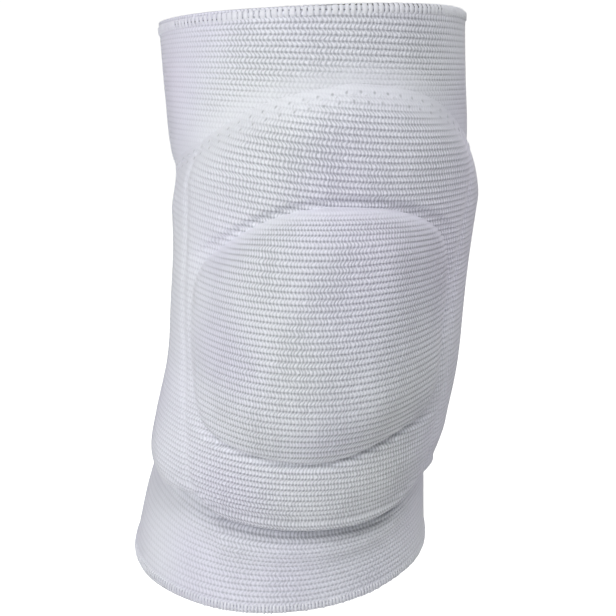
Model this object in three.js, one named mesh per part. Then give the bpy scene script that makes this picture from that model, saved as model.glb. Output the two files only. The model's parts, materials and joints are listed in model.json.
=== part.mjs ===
// Volleyball knee pad in its worn form, on a slightly bent leg: an elastic knit sleeve, a foam
// shield in knit round its front, a raised knee cup on the shield and a hem at each rim.
// Millimetres. +Z runs up the leg, the kneecap faces -Y and +X is the viewer's right.
// The origin is on the leg's axis, level with the middle of the knee cup.

import * as THREE from "three";

// Heights, from the bottom rim up. They stack up to the sleeve's whole height.
const CUFF_HEIGHT = 37; // bare knit below the shield
const LIP_HEIGHT = 21; // the shield's lower lip
const CUP_HEIGHT = 78; // the knee cup
const BROW_HEIGHT = 39; // the shield above the cup
const BAND_HEIGHT = 25; // bare knit above the shield

// The knit tube
const LEG_WIDTH = 108; // outside the knit, at the thigh
const LEG_DEPTH = 108;
const KNIT_WALL = 2;

// The hems
const TOP_HEM_HEIGHT = 4.6;
const TOP_HEM_THICKNESS = 3.2;
const BOTTOM_HEM_HEIGHT = 3.2;
const BOTTOM_HEM_THICKNESS = 2.8;

// The foam shield, round the front from one side of the leg to the other
const SHIELD_WRAP = 104; // degrees to each side
const SHIELD_THICKNESS = 8;
const SHIELD_EDGE = 0.8; // thickness of its sewn edge
const SHIELD_ARCH = 25; // how far its top edge drops at the sides
const SHIELD_BEVEL = 14; // height over which its top edge thins out
const SIDE_BEVEL = 34; // degrees over which its side edges thin out
const LIP_ROLL = 8; // height over which the lower lip rounds off
const LIP_SAG = 3; // how far the lip hangs over its own seam
const LIP_SWELL = 2; // extra foam in the middle of the lip
const LIP_LIFT = 4.5; // how far the lip's seam is drawn up where the side seams meet it
const LIP_LIFT_SPREAD = 20; // degrees to each side of the side seams

// The side seams, which run down both sides of the shield
const SEAM_TURN = 60; // degrees from the shield's middle
const SEAM_WIDTH = 3.4; // degrees
const SEAM_DEPTH = 1.2;

// The knee cup, between the side seams
const CUP_RISE = 6.5; // above the shield
const CUP_EDGE = 0.8;
const CUP_BEVEL = 10; // height over which its edge rises
const CUP_SIDE_BEVEL = 14; // degrees
const CUP_TOP_ARCH = 21; // how far its top edge drops at the seams
const CUP_BOTTOM_ARCH = 14; // how far its bottom edge rises at the seams
const CUP_ROUNDNESS = 0.97; // 1 makes both arcs half ovals, and less makes them flatter at the seams

const GAP = 0.6; // clear space between pieces that are sewn together

// Facets
const RING_SECTORS = 44;
const SLEEVE_ROWS = 30;
const SHIELD_ROWS = 22;
const CUP_ROWS = 14;
const HEM_CORNERS = 8;

const CREASE = CUFF_HEIGHT;
const CUP_BOTTOM = CREASE + LIP_HEIGHT;
const CUP_TOP = CUP_BOTTOM + CUP_HEIGHT;
const SHIELD_TOP = CUP_TOP + BROW_HEIGHT;
const SLEEVE_HEIGHT = SHIELD_TOP + BAND_HEIGHT;
const ORIGIN_HEIGHT = CUP_BOTTOM + CUP_HEIGHT / 2;

// How the leg leans. Each row is a section across it, from the bottom rim up.
// height: of the section's middle. aside, back: how far the middle leans off the axis towards +X
// and +Y, as shares of the sleeve's height. dip: degrees that the front is tipped down.
// roll: degrees that the +X side is tipped up.
const LEANS = [
  { height: 0, aside: -0.0705, back: 0.085, dip: 17, roll: 3.4 },
  { height: 0.5 * CREASE, aside: -0.062, back: 0.068, dip: 19, roll: 1 },
  { height: CREASE, aside: -0.05, back: 0.05, dip: 21, roll: -3.5 },
  { height: CREASE + 0.4 * LIP_HEIGHT, aside: -0.056, back: 0.038, dip: 18, roll: -3.5 },
  { height: CUP_BOTTOM, aside: -0.039, back: 0.025, dip: 13, roll: -2.5 },
  { height: CUP_BOTTOM + 0.25 * CUP_HEIGHT, aside: -0.012, back: 0.01, dip: 8, roll: -1 },
  { height: ORIGIN_HEIGHT, aside: 0, back: 0, dip: 3, roll: 1 },
  { height: CUP_TOP, aside: 0.014, back: 0.008, dip: -4, roll: 2 },
  { height: CUP_TOP + 0.45 * BROW_HEIGHT, aside: 0.005, back: 0.017, dip: -6, roll: 3 },
  { height: SHIELD_TOP, aside: -0.003, back: 0.03, dip: -8, roll: 3.4 },
  { height: SLEEVE_HEIGHT, aside: -0.01, back: 0.048, dip: -9, roll: 2.8 },
];

// How wide the knit is. width: share of the leg's width. front, rear: from the section's middle
// to the front and the rear of the knit, as shares of the leg's depth.
const GIRTHS = [
  { height: 0, width: 1.035, front: 0.49, rear: 0.5 },
  { height: 0.5 * CREASE, width: 0.985, front: 0.48, rear: 0.49 },
  { height: CREASE, width: 0.93, front: 0.47, rear: 0.48 },
  { height: CREASE + 0.4 * LIP_HEIGHT, width: 0.93, front: 0.47, rear: 0.48 },
  { height: CUP_BOTTOM, width: 0.91, front: 0.47, rear: 0.48 },
  { height: ORIGIN_HEIGHT, width: 0.885, front: 0.48, rear: 0.49 },
  { height: CUP_TOP, width: 0.93, front: 0.49, rear: 0.5 },
  { height: CUP_TOP + 0.45 * BROW_HEIGHT, width: 1.012, front: 0.5, rear: 0.51 },
  { height: SHIELD_TOP, width: 1.03, front: 0.51, rear: 0.52 },
  { height: SLEEVE_HEIGHT, width: 1.048, front: 0.53, rear: 0.53 },
];

// How the pads sit round the leg. twist: degrees that their middle is turned towards +X.
// spread: share of their turn that they keep where the leg is drawn in.
const PAD_TURNS = [
  { height: 0, twist: 14, spread: 0.92 },
  { height: CREASE, twist: 14, spread: 0.92 },
  { height: CUP_BOTTOM, twist: 8, spread: 0.93 },
  { height: ORIGIN_HEIGHT, twist: 0, spread: 0.98 },
  { height: CUP_TOP, twist: 2, spread: 1 },
  { height: CUP_TOP + 0.45 * BROW_HEIGHT, twist: 9, spread: 1 },
  { height: SHIELD_TOP, twist: 14, spread: 1 },
  { height: SLEEVE_HEIGHT, twist: 14, spread: 1 },
];

// The shield's top edge. turn: share of its wrap. drop: share of its arch.
const SHIELD_TOP_EDGE = [
  { turn: 0, drop: 0 },
  { turn: 0.2, drop: 0.1 },
  { turn: 0.36, drop: 0.27 },
  { turn: 0.54, drop: 0.62 },
  { turn: 0.72, drop: 0.87 },
  { turn: 1, drop: 1 },
];

const radians = THREE.MathUtils.degToRad;
const smooth = (share) => THREE.MathUtils.smoothstep(share, 0, 1);

// A smooth curve through one column of a table, over its column named by over
function curveValue(table, over, column, x) {
  const last = table.length - 1;
  const slopeAt = (i) => {
    const below = table[Math.max(i - 1, 0)];
    const above = table[Math.min(i + 1, last)];
    return (above[column] - below[column]) / (above[over] - below[over]);
  };
  const next = table.findIndex((row) => row[over] > x);
  const i = next < 0 ? last - 1 : Math.max(next - 1, 0);
  const [a, b] = [table[i], table[i + 1]];
  const span = b[over] - a[over];
  const t = (x - a[over]) / span;
  const rise = b[column] - a[column];
  const startBend = slopeAt(i) * span - rise;
  const endBend = rise - slopeAt(i + 1) * span;
  return a[column] + rise * t + t * (1 - t) * (startBend * (1 - t) + endBend * t);
}

const lean = (column, height) => curveValue(LEANS, "height", column, height);
const girth = (column, height) => curveValue(GIRTHS, "height", column, height);
const padTurn = (column, height) => curveValue(PAD_TURNS, "height", column, height);

// A point on the knit. height: above the bottom rim. turn: degrees from the front towards +X.
// lift: distance out from the knit's outer face.
function skinPoint(height, turn, lift = 0) {
  const across = Math.sin(radians(turn));
  const ahead = Math.cos(radians(turn));
  const halfWidth = (girth("width", height) * LEG_WIDTH) / 2;
  const halfDepth = girth(ahead > 0 ? "front" : "rear", height) * LEG_DEPTH;
  const normal = new THREE.Vector2(across / halfWidth, ahead / halfDepth).normalize();
  const point = new THREE.Vector3(
    across * halfWidth + normal.x * lift,
    -(ahead * halfDepth + normal.y * lift),
    0,
  );
  const dip = radians(lean("dip", height));
  const roll = radians(lean("roll", height));
  point.applyEuler(new THREE.Euler(dip, -roll, 0, "YXZ"));
  const aside = lean("aside", height) * SLEEVE_HEIGHT;
  const back = lean("back", height) * SLEEVE_HEIGHT;
  return point.add(new THREE.Vector3(aside, back, height - ORIGIN_HEIGHT));
}

// The same point for the pads, whose turn is counted from their own middle
function padPoint(height, turn, lift) {
  return skinPoint(height, turn * padTurn("spread", height) + padTurn("twist", height), lift);
}

const steps = (count, from, to) =>
  Array.from({ length: count + 1 }, (_, i) => from + ((to - from) * i) / count);

// A closed solid lofted through loops of points. A round loft joins its last loop to its first.
// Any other is capped, and its loops run out along one face and back along the other.
function loft(loops, round) {
  const size = loops[0].length;
  const index = [];
  const corner = (loop, i) => (loop % loops.length) * size + (i % size);
  const quad = (a, b, c, d) => index.push(a, b, c, a, c, d);
  for (let loop = 0; loop < loops.length - (round ? 0 : 1); loop++)
    for (let i = 0; i < size; i++)
      quad(corner(loop, i), corner(loop, i + 1), corner(loop + 1, i + 1), corner(loop + 1, i));
  for (let i = 0; !round && i < size / 2 - 1; i++) {
    const last = loops.length - 1;
    const back = [size - 2 - i, size - 1 - i];
    quad(corner(0, back[1]), corner(0, back[0]), corner(0, i + 1), corner(0, i));
    quad(corner(last, i), corner(last, i + 1), corner(last, back[0]), corner(last, back[1]));
  }
  const geometry = new THREE.BufferGeometry().setFromPoints(loops.flat()).setIndex(index);
  geometry.computeVertexNormals();
  return geometry;
}

const ringTurns = steps(RING_SECTORS, 0, 360).slice(0, -1);

// The knit tube between the two hems
function sleeveGeometry() {
  const low = BOTTOM_HEM_HEIGHT + GAP;
  const high = SLEEVE_HEIGHT - TOP_HEM_HEIGHT - GAP;
  const heights = steps(SLEEVE_ROWS, low, high);
  const loops = ringTurns.map((turn) => [
    ...heights.map((height) => skinPoint(height, turn)).reverse(),
    ...heights.map((height) => skinPoint(height, turn, -KNIT_WALL)),
  ]);
  return loft(loops, true);
}

// The turned edge round a rim: a ring whose section is a rounded oblong
function hemGeometry(low, high, thickness) {
  const blunt = (x) => Math.sign(x) * Math.sqrt(Math.abs(x));
  const angles = steps(HEM_CORNERS, 360, 0).slice(0, -1).map(radians);
  const loops = ringTurns.map((turn) =>
    angles.map((angle) => {
      const height = (low + high) / 2 + ((high - low) / 2) * blunt(Math.sin(angle));
      const lift = -KNIT_WALL / 2 + (thickness / 2) * blunt(Math.cos(angle));
      return skinPoint(height, turn, lift);
    }),
  );
  return loft(loops, true);
}

const shieldTop = (turn) =>
  SHIELD_TOP - SHIELD_ARCH * curveValue(SHIELD_TOP_EDGE, "turn", "drop", Math.abs(turn) / SHIELD_WRAP);

const seamNearness = (turn, width) =>
  Math.exp(-(((Math.abs(turn) - SEAM_TURN) / width) ** 2));

const shieldBottom = (turn) => CREASE + LIP_LIFT * seamNearness(turn, LIP_LIFT_SPREAD);

function shieldLift(height, turn) {
  const roll = Math.min((height - shieldBottom(turn)) / LIP_ROLL, 1);
  const lowerEdge = Math.sqrt(Math.max(1 - (1 - roll) ** 2, 0));
  const upperEdge = smooth((shieldTop(turn) - height) / SHIELD_BEVEL);
  const sideEdge = smooth((SHIELD_WRAP - Math.abs(turn)) / SIDE_BEVEL);
  const inLip = THREE.MathUtils.clamp((height - CREASE) / LIP_HEIGHT, 0, 1);
  const swell = LIP_SWELL * Math.sin(Math.PI * inLip) * smooth((SHIELD_WRAP - Math.abs(turn)) / SHIELD_WRAP);
  const foam = (SHIELD_THICKNESS - SHIELD_EDGE + swell) * lowerEdge * upperEdge * sideEdge;
  const seam = seamNearness(turn, SEAM_WIDTH) * Math.min(foam, SEAM_DEPTH);
  return GAP + SHIELD_EDGE + foam - seam;
}

// The foam hangs over its lower seam by its own softness.
const sagged = (height, turn) =>
  height - LIP_SAG * Math.exp(-(height - shieldBottom(turn)) / LIP_ROLL);

// A pad between two edges: columns of points at the turns given, each from bottom to top
function padGeometry(turns, rows, bottom, top, frontPoint, backPoint) {
  const loops = turns.map((turn) => {
    const heights = steps(rows, bottom(turn), top(turn));
    return [
      ...heights.map((height) => backPoint(height, turn)),
      ...heights.map((height) => frontPoint(height, turn)).reverse(),
    ];
  });
  return loft(loops, false);
}

function shieldGeometry() {
  const side = steps(6, SEAM_TURN + SEAM_WIDTH, SHIELD_WRAP);
  const middle = steps(18, SEAM_WIDTH - SEAM_TURN, SEAM_TURN - SEAM_WIDTH);
  const mirrored = side.map((turn) => -turn).reverse();
  const turns = [...mirrored, -SEAM_TURN, ...middle, SEAM_TURN, ...side];
  const front = (height, turn) => padPoint(sagged(height, turn), turn, shieldLift(height, turn));
  const back = (height, turn) => padPoint(height, turn, GAP);
  return padGeometry(turns, SHIELD_ROWS, shieldBottom, shieldTop, front, back);
}

const CUP_TURN = SEAM_TURN - SEAM_WIDTH;

// An arc's share of its drop at this turn
const arcDrop = (turn) => 1 - Math.sqrt(1 - CUP_ROUNDNESS * (turn / CUP_TURN) ** 2);
const cupTop = (turn) => CUP_TOP - CUP_TOP_ARCH * arcDrop(turn);
const cupBottom = (turn) => CUP_BOTTOM + CUP_BOTTOM_ARCH * arcDrop(turn);

function cupLift(height, turn) {
  const upper = smooth((cupTop(turn) - height) / CUP_BEVEL);
  const lower = Math.sqrt(Math.min((height - cupBottom(turn)) / CUP_BEVEL, 1));
  const sides = smooth((CUP_TURN - Math.abs(turn)) / CUP_SIDE_BEVEL);
  return shieldLift(height, turn) + GAP + CUP_EDGE + (CUP_RISE - CUP_EDGE) * upper * lower * sides;
}

function cupGeometry() {
  const turns = steps(18, -CUP_TURN, CUP_TURN);
  const front = (height, turn) => padPoint(sagged(height, turn), turn, cupLift(height, turn));
  const back = (height, turn) =>
    padPoint(sagged(height, turn), turn, shieldLift(height, turn) + GAP);
  return padGeometry(turns, CUP_ROWS, cupBottom, cupTop, front, back);
}

function piece(name, geometry) {
  const look = new THREE.MeshStandardMaterial({ color: 0xe4e6ee, roughness: 0.9, metalness: 0 });
  const mesh = new THREE.Mesh(geometry, look);
  mesh.name = name;
  return mesh;
}

const kneePad = new THREE.Group();
kneePad.add(
  piece("sleeve", sleeveGeometry()),
  piece("bottom_hem", hemGeometry(0, BOTTOM_HEM_HEIGHT, BOTTOM_HEM_THICKNESS)),
  piece("top_hem", hemGeometry(SLEEVE_HEIGHT - TOP_HEM_HEIGHT, SLEEVE_HEIGHT, TOP_HEM_THICKNESS)),
  piece("shield_pad", shieldGeometry()),
  piece("knee_cup", cupGeometry()),
);

export default kneePad;
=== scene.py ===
"""The looks of a volleyball knee pad: ribbed elastic knit over a foam shield and a knee cup.

Metres. +Z runs up the leg, the kneecap faces -Y and +X is the viewer's right. Every surface is
a height field over the leg: a point is given by its height above the bottom rim, its turn round
the leg in degrees from the front towards +X, and its lift out from the knit's outer face.
"""

import json
import math

import bmesh
import bpy
import numpy as np
from bpy.props import FloatProperty, FloatVectorProperty, IntProperty, PointerProperty
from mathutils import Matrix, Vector

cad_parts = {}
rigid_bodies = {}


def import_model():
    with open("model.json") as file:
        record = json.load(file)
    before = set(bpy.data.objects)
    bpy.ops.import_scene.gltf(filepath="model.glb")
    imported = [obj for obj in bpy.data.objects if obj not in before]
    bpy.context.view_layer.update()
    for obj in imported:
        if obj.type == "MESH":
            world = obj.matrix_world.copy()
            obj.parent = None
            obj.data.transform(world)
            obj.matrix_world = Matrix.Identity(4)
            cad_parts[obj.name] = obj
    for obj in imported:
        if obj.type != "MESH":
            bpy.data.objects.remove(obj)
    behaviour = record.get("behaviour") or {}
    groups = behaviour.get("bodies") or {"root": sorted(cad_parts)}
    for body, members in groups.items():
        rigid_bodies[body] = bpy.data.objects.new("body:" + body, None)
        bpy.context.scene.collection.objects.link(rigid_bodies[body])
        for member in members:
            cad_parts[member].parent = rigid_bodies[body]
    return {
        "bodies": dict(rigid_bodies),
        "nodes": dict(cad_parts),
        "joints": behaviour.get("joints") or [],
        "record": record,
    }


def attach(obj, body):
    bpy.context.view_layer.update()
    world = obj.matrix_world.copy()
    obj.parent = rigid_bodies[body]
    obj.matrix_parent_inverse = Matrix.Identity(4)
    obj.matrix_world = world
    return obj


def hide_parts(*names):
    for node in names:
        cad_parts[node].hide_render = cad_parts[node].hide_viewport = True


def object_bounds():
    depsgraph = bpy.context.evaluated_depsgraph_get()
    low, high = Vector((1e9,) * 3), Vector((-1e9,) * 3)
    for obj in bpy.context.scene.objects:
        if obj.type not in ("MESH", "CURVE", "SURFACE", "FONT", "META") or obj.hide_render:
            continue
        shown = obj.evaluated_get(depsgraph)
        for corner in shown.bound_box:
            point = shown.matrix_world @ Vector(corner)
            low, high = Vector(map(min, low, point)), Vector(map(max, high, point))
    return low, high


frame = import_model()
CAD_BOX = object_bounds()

bl_info = {
    "name": "Volleyball knee pad",
    "version": (1, 0, 0),
    "blender": (4, 5, 0),
    "location": "View3D > Sidebar > Knee pad",
    "description": "Builds a ribbed knit knee pad with a foam shield, a knee cup and sewn hems",
    "category": "Object",
}

# How the leg leans. Each row: the block of the pad and the share of its height where the section
# lies, then how far its middle leans towards +X and +Y as shares of the sleeve's height, and the
# degrees that its front is tipped down and its +X side tipped up.
LEANS = (
    ("cuff", 0.0, -0.0705, 0.085, 17, 3.4),
    ("cuff", 0.5, -0.062, 0.068, 19, 1),
    ("lip", 0.0, -0.05, 0.05, 21, -3.5),
    ("lip", 0.4, -0.056, 0.038, 18, -3.5),
    ("cup", 0.0, -0.039, 0.025, 13, -2.5),
    ("cup", 0.25, -0.012, 0.01, 8, -1),
    ("cup", 0.5, 0.0, 0.0, 3, 1),
    ("brow", 0.0, 0.014, 0.008, -4, 2),
    ("brow", 0.45, 0.005, 0.017, -6, 3),
    ("band", 0.0, -0.003, 0.03, -8, 3.4),
    ("band", 1.0, -0.01, 0.048, -9, 2.8),
)

# How wide the knit is: its width as a share of the leg's width, and from the section's middle to
# its front and rear as shares of the leg's depth.
GIRTHS = (
    ("cuff", 0.0, 1.035, 0.49, 0.5),
    ("cuff", 0.5, 0.985, 0.48, 0.49),
    ("lip", 0.0, 0.93, 0.47, 0.48),
    ("lip", 0.4, 0.93, 0.47, 0.48),
    ("cup", 0.0, 0.91, 0.47, 0.48),
    ("cup", 0.5, 0.885, 0.48, 0.49),
    ("brow", 0.0, 0.93, 0.49, 0.5),
    ("brow", 0.45, 1.012, 0.5, 0.51),
    ("band", 0.0, 1.03, 0.51, 0.52),
    ("band", 1.0, 1.048, 0.53, 0.53),
)

# How the pads sit round the leg: the degrees that their middle is turned towards +X, and the
# share of their turn that they keep.
PAD_TURNS = (
    ("cuff", 0.0, 14, 0.92),
    ("lip", 0.0, 14, 0.92),
    ("cup", 0.0, 8, 0.93),
    ("cup", 0.5, 0, 0.98),
    ("brow", 0.0, 2, 1.0),
    ("brow", 0.45, 9, 1.0),
    ("band", 0.0, 14, 1.0),
    ("band", 1.0, 14, 1.0),
)

# How the ribs of each piece run: their pitch as a share of the rib pitch, and then, as shares of
# the leg's depth, how far they drop towards +X and how far they hang in the middle.
SLEEVE_RIBS = (
    ("cuff", 0.0, 0.95, 0.0, 0.0),
    ("cuff", 0.4, 0.95, 0.0, -0.012),
    ("lip", 0.0, 0.95, 0.0, -0.02),
    ("cup", 0.5, 0.93, 0.03, 0.01),
    ("brow", 0.5, 0.86, 0.035, 0.03),
    ("band", 0.0, 0.81, 0.045, 0.032),
    ("band", 0.6, 0.81, 0.03, 0.015),
    ("band", 1.0, 0.81, 0.01, 0.0),
)
SHIELD_RIBS = (
    ("cuff", 0.0, 0.88, 0.0, 0.0),
    ("lip", 0.0, 0.74, 0.0, 0.0),
    ("lip", 1.0, 0.74, 0.0, 0.01),
    ("cup", 0.5, 0.88, 0.01, 0.04),
    ("brow", 0.0, 0.95, 0.055, 0.085),
    ("brow", 0.6, 0.93, 0.065, 0.09),
    ("band", 1.0, 0.93, 0.065, 0.09),
)
CUP_RIBS = (
    ("cuff", 0.0, 0.8, -0.02, 0.1),
    ("cup", 0.0, 0.8, -0.02, 0.1),
    ("cup", 1.0, 0.85, 0.02, 0.1),
    ("band", 1.0, 0.85, 0.02, 0.1),
)

# The shield's top edge: share of its wrap, share of its arch that it has dropped there.
SHIELD_TOP_EDGE = ((0.0, 0.0), (0.2, 0.1), (0.36, 0.26), (0.54, 0.56), (0.72, 0.78), (1.0, 1.0))

# The long waves of the uneven knit: strength, waves round the leg, radians of phase up the whole
# leg, and phase at the bottom.
WAVES = (
    (1.0, 3, 9.1, 0.7),
    (0.8, 5, -13.7, 2.1),
    (0.6, 8, 21.3, 4.4),
    (0.5, 2, -31.9, 1.3),
)

# The needle holes are worked out in millimetres.
MILLIMETRES = 1000

# The curves of the pads: how the round of the lip and of a hem is drawn into its corners, how the
# lip's foam tapers, how wide the cuff's swell is next to its drop, and where on the cup the side
# seams begin to run in.
LIP_BLUNTNESS = 0.75
HEM_BLUNTNESS = 0.5
LIP_TAPER = 1.5
SWELL_SPREAD = 0.7
PULL_START = 0.3

# The cup: seam widths between it and a side seam, where its uneven arcs are furthest out, and the
# share of its rise over which its sewn edge lifts.
CUP_INSET = 1.4
LEFT_ARCH_END = 0.8
RIGHT_ARCH_SKEW = 1.5
CUP_HEM = 0.08

# The zigzag row: the share of the shield's wrap that it covers, the points of its path, and the
# points of a side seam's path.
QUILT_REACH = 0.9
QUILT_POINTS = 500
SEAM_POINTS = 160

# The ladder of ribs: metres beyond the pad, its steps, and rounds that settle a rib's height.
LADDER_MARGIN = 0.03
LADDER_STEPS = 800
LADDER_ROUNDS = 6

# Rows of faces: how near an edge a row may come, and when it is merged with it, in rows.
ROW_MARGIN = 0.4
ROW_MERGE = 0.45

# Metres below which points count as one, an edge has no length and a move is none at all.
MERGE_DISTANCE = 2e-6
THINNEST_EDGE = 1e-7
TINY = 1e-9

# The share of a hem's height that the tube's edge reaches into it.
HEM_OVERLAP = 0.45

# Where the tube's ribs are drawn flat: by the shield's arch and at the cuff. Degrees and metres.
ARCH_SIDE_FADE = 25
ARCH_BAND = 0.005
ARCH_FLATTENING = 0.7
CUFF_FADE = 0.01

# Where the shield's ribs are drawn flat: under its arch, wider at the sides, at its side seams
# and where its knit is tucked in.
EDGE_RELIEF = 0.15
ARCH_BARE = 0.0035
ARCH_RELIEF_FADE = 0.009
ARCH_RELIEF_GROWTH = 0.008
ARCH_MIDDLE_TURN = 10
ARCH_SIDE_TURN = 50
SEAM_FLATTENING = 0.25
TUCK_RELIEF_FADE = 0.004
LIP_HELD = 0.002

# Where the cup's ribs are drawn flat.
CUP_BARE = 0.0015
CUP_TOP_FADE = 0.006
CUP_BOTTOM_FADE = 0.002
CUP_SIDE_FADE = 4

# The backs of the pads: the thinnest that a pad may be, how far the shield's back reaches below
# its lip, and how deep the cup's back sinks into the shield.
THINNEST_PAD = 0.0003
BACK_DROP = 0.001
CUP_SINK = 0.0004

# How deep stitches sink: seams and zigzag row in metres, the rest in thread thicknesses.
SEAM_SINK = 0.00015
ROW_SINK = 0.0001
ROW_THREAD = 0.8
THREAD_SINK = 0.3
CORE_INSET = 1.2

# How much wider the overlock's threads lie at the sides of the leg.
SIDE_SPREAD = 0.12
SPREAD_REACH = 0.8

# The corners of an overlock loop and of its flat thread, as shares of their depth, and how its
# threads differ: seeds, the narrowest one and how much wider the widest is.
LOOP_CORNER = 0.42
RIBBON_CORNER = 0.45
WIDTH_SEED = 7
HEIGHT_SEED = 11
NARROWEST = 0.72
WIDTH_SPREAD = 0.4

# The knit's stitches, in shares of a rib or of a stitch: where a thread ends and the painted shade
# of its gap is full, how far stitches wander, and how clearly they part in one patch and another.
THREAD_EDGE = (0.16, 0.58)
STITCH_EDGE = (0.2, 0.44)
WOBBLE_SCALE = 0.4
PATCH_SCALE = 0.09
PATCH_RANGE = (0.35, 0.65)
PATCH_CLARITY = (0.6, 1.05)

# The yarn: scales of its drift of shade and tint, strength of its flecks, and its roughness.
SHADE_SCALE = 60.0
TINT_SCALE = 16.0
TINT_MIDDLE = 0.48
TINT_DEPTH = 1.6
FLECK_SHARE = 0.8
FLECK_ROUGHNESS = 0.16
YARN_ROUGHNESS = 0.86
KNIT_FUZZ = 0.00008
THREAD_FUZZ = 0.0001

# The needle holes, painted as shade: how dark they are, their painted shade as a share of the
# gaps' colour, and how deep they look.
HOLE_STRENGTH = 0.35
HOLE_SHADE = 0.55
HOLE_DEPTH = 2.5

# A place on the zigzag row's own scale that is far from every hole.
OFF_THE_ROW = 20

# Steps that turn a difference of two points into a direction, in metres.
NUDGE = 0.001

# The lamps: the look that gives each one's power, degrees round from the front towards +X, and
# degrees above the pad.
LAMPS = (
    ("key_light", -45, 15),
    ("left_light", -85, 15),
    ("top_light", 0, 45),
    ("right_light", 90, 50),
    ("rear_light", 175, 35),
)

# The floor, a pale disc whose tone drifts a little, and the point that the camera looks at.
FLOOR_RADIUS = 14
FLOOR_CORNERS = 96
FLOOR_SHADE = 0.985
CAMERA_TARGET = (-0.0033, 0, -0.004)


def length(description, default):
    return FloatProperty(
        description=description, default=default, min=0, precision=5, unit="LENGTH"
    )


def number(description, default):
    return FloatProperty(description=description, default=default)


def whole(description, default):
    return IntProperty(description=description, default=default, min=1)


def share(description, default):
    return FloatProperty(
        description=description, default=default, min=0, max=1, subtype="FACTOR"
    )


def watts(description, default):
    return FloatProperty(description=description, default=default, min=0, unit="POWER")


def colour(description, default):
    return FloatVectorProperty(
        description=description, default=default, size=3, min=0, max=1, subtype="COLOR"
    )


class SleeveSizes(bpy.types.PropertyGroup):
    leg_width: length("Outside of the knit from side to side, at the thigh", 0.108)
    leg_depth: length("Outside of the knit from front to rear, at the thigh", 0.108)
    wall: length("Thickness of the knit tube", 0.002)
    cut_width: length("Round the tube before a leg stretches it", 0.29)
    cuff_height: length("Bare knit below the shield", 0.037)
    band_height: length("Bare knit above the shield", 0.025)
    top_hem_height: length("Height of the turned edge at the thigh", 0.0046)
    top_hem_thickness: length("Thickness of the edge at the thigh", 0.0029)
    bottom_hem_height: length("Height of the edge at the shin", 0.0032)
    bottom_hem_thickness: length("Thickness of the edge at the shin", 0.0028)
    gap: length("Clear space between pieces that are sewn together", 0.0006)
    unevenness: length("How far the soft knit strays from an even surface", 0.0005)


class ShieldSizes(bpy.types.PropertyGroup):
    lip_height: length("Height of the shield's lower lip", 0.021)
    brow_height: length("Height of the shield above the cup", 0.039)
    wrap: number("Degrees that the shield reaches round to each side", 104)
    thickness: length("Thickness of the foam", 0.008)
    edge: length("Thickness of the sewn edge", 0.0008)
    arch: length("How far the top edge drops at the sides", 0.025)
    bevel: length("Height over which the top edge thins out", 0.017)
    bevel_growth: share("How much longer that is at the sides", 0.4)
    side_bevel: number("Degrees over which the side edges thin out", 34)
    side_rise: number("Degrees over which the side edges rise out of the knit", 12)
    lip_roll: length("Height over which the lower lip rounds off", 0.0055)
    lip_cloth: length("Length of the knit that goes round the lip", 0.0105)
    lip_tuck: number("Degrees that the knit turns round the lip", 150)
    lip_rise: length("From the lip's lowest seam up to its foam", 0.0012)
    lip_swell: length("Extra foam in the middle of the lip", 0.0016)
    lip_thinning: share("Share of its thickness that the foam loses down the lip", 0.55)
    right_thinning: share("How much more it loses on the +X side", 0.25)
    thinning_turn: number("Turn at which that extra loss sets in", 12)
    thinning_fade: number("Degrees from there to where it is full", 30)
    lip_channel: length("How far the lip's seam draws the tube in below it", 0.0028)
    lip_channel_width: length("Half the height of that channel", 0.0018)
    channel_drop: length("From the lip's edge down to the middle of that channel", 0.0004)
    left_channel_end: number("Degrees short of the wrap where it ends on the -X side", 20)
    right_channel_end: number("Degrees short of the wrap where it ends on the +X side", 44)
    channel_fade: number("Degrees over which it fades out there", 40)
    cuff_swell: length("How far the tube swells out below that channel", 0.0022)
    cuff_swell_drop: length("From the lip's seam down to that swell", 0.009)
    lip_lift: length("How far the side seams draw the lip's seam up", 0.0045)
    lip_lift_spread: number("Degrees that this fades over, outwards", 20)
    left_lift_end: number("Degrees that it fades over, in from the left seam", 5)
    right_lift_end: number("Degrees that it fades over, in from the right", 16)
    seam_turn: number("Degrees from the shield's middle to the side seams", 60)
    left_pull: number("Degrees that the left seam runs in at the lip", 9)
    right_pull: number("Degrees that the right seam runs in at the lip", 3)
    seam_width: number("Degrees that half a side seam covers", 1.6)
    seam_depth: length("Depth of the side seams", 0.0007)
    tuck: length("How deep the sewn edges sink into the knit below", 0.0004)
    blend: length("Width of the strip where the cover rises out of the knit", 0.008)
    quilt_inset: length("From the arched edge down to its zigzag row", 0.006)
    quilt_pitch: length("Length of one zigzag of that row", 0.0052)
    quilt_width: length("Height of that zigzag", 0.0032)
    quilt_depth: length("Depth of the channel that the row draws in", 0.0005)


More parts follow.
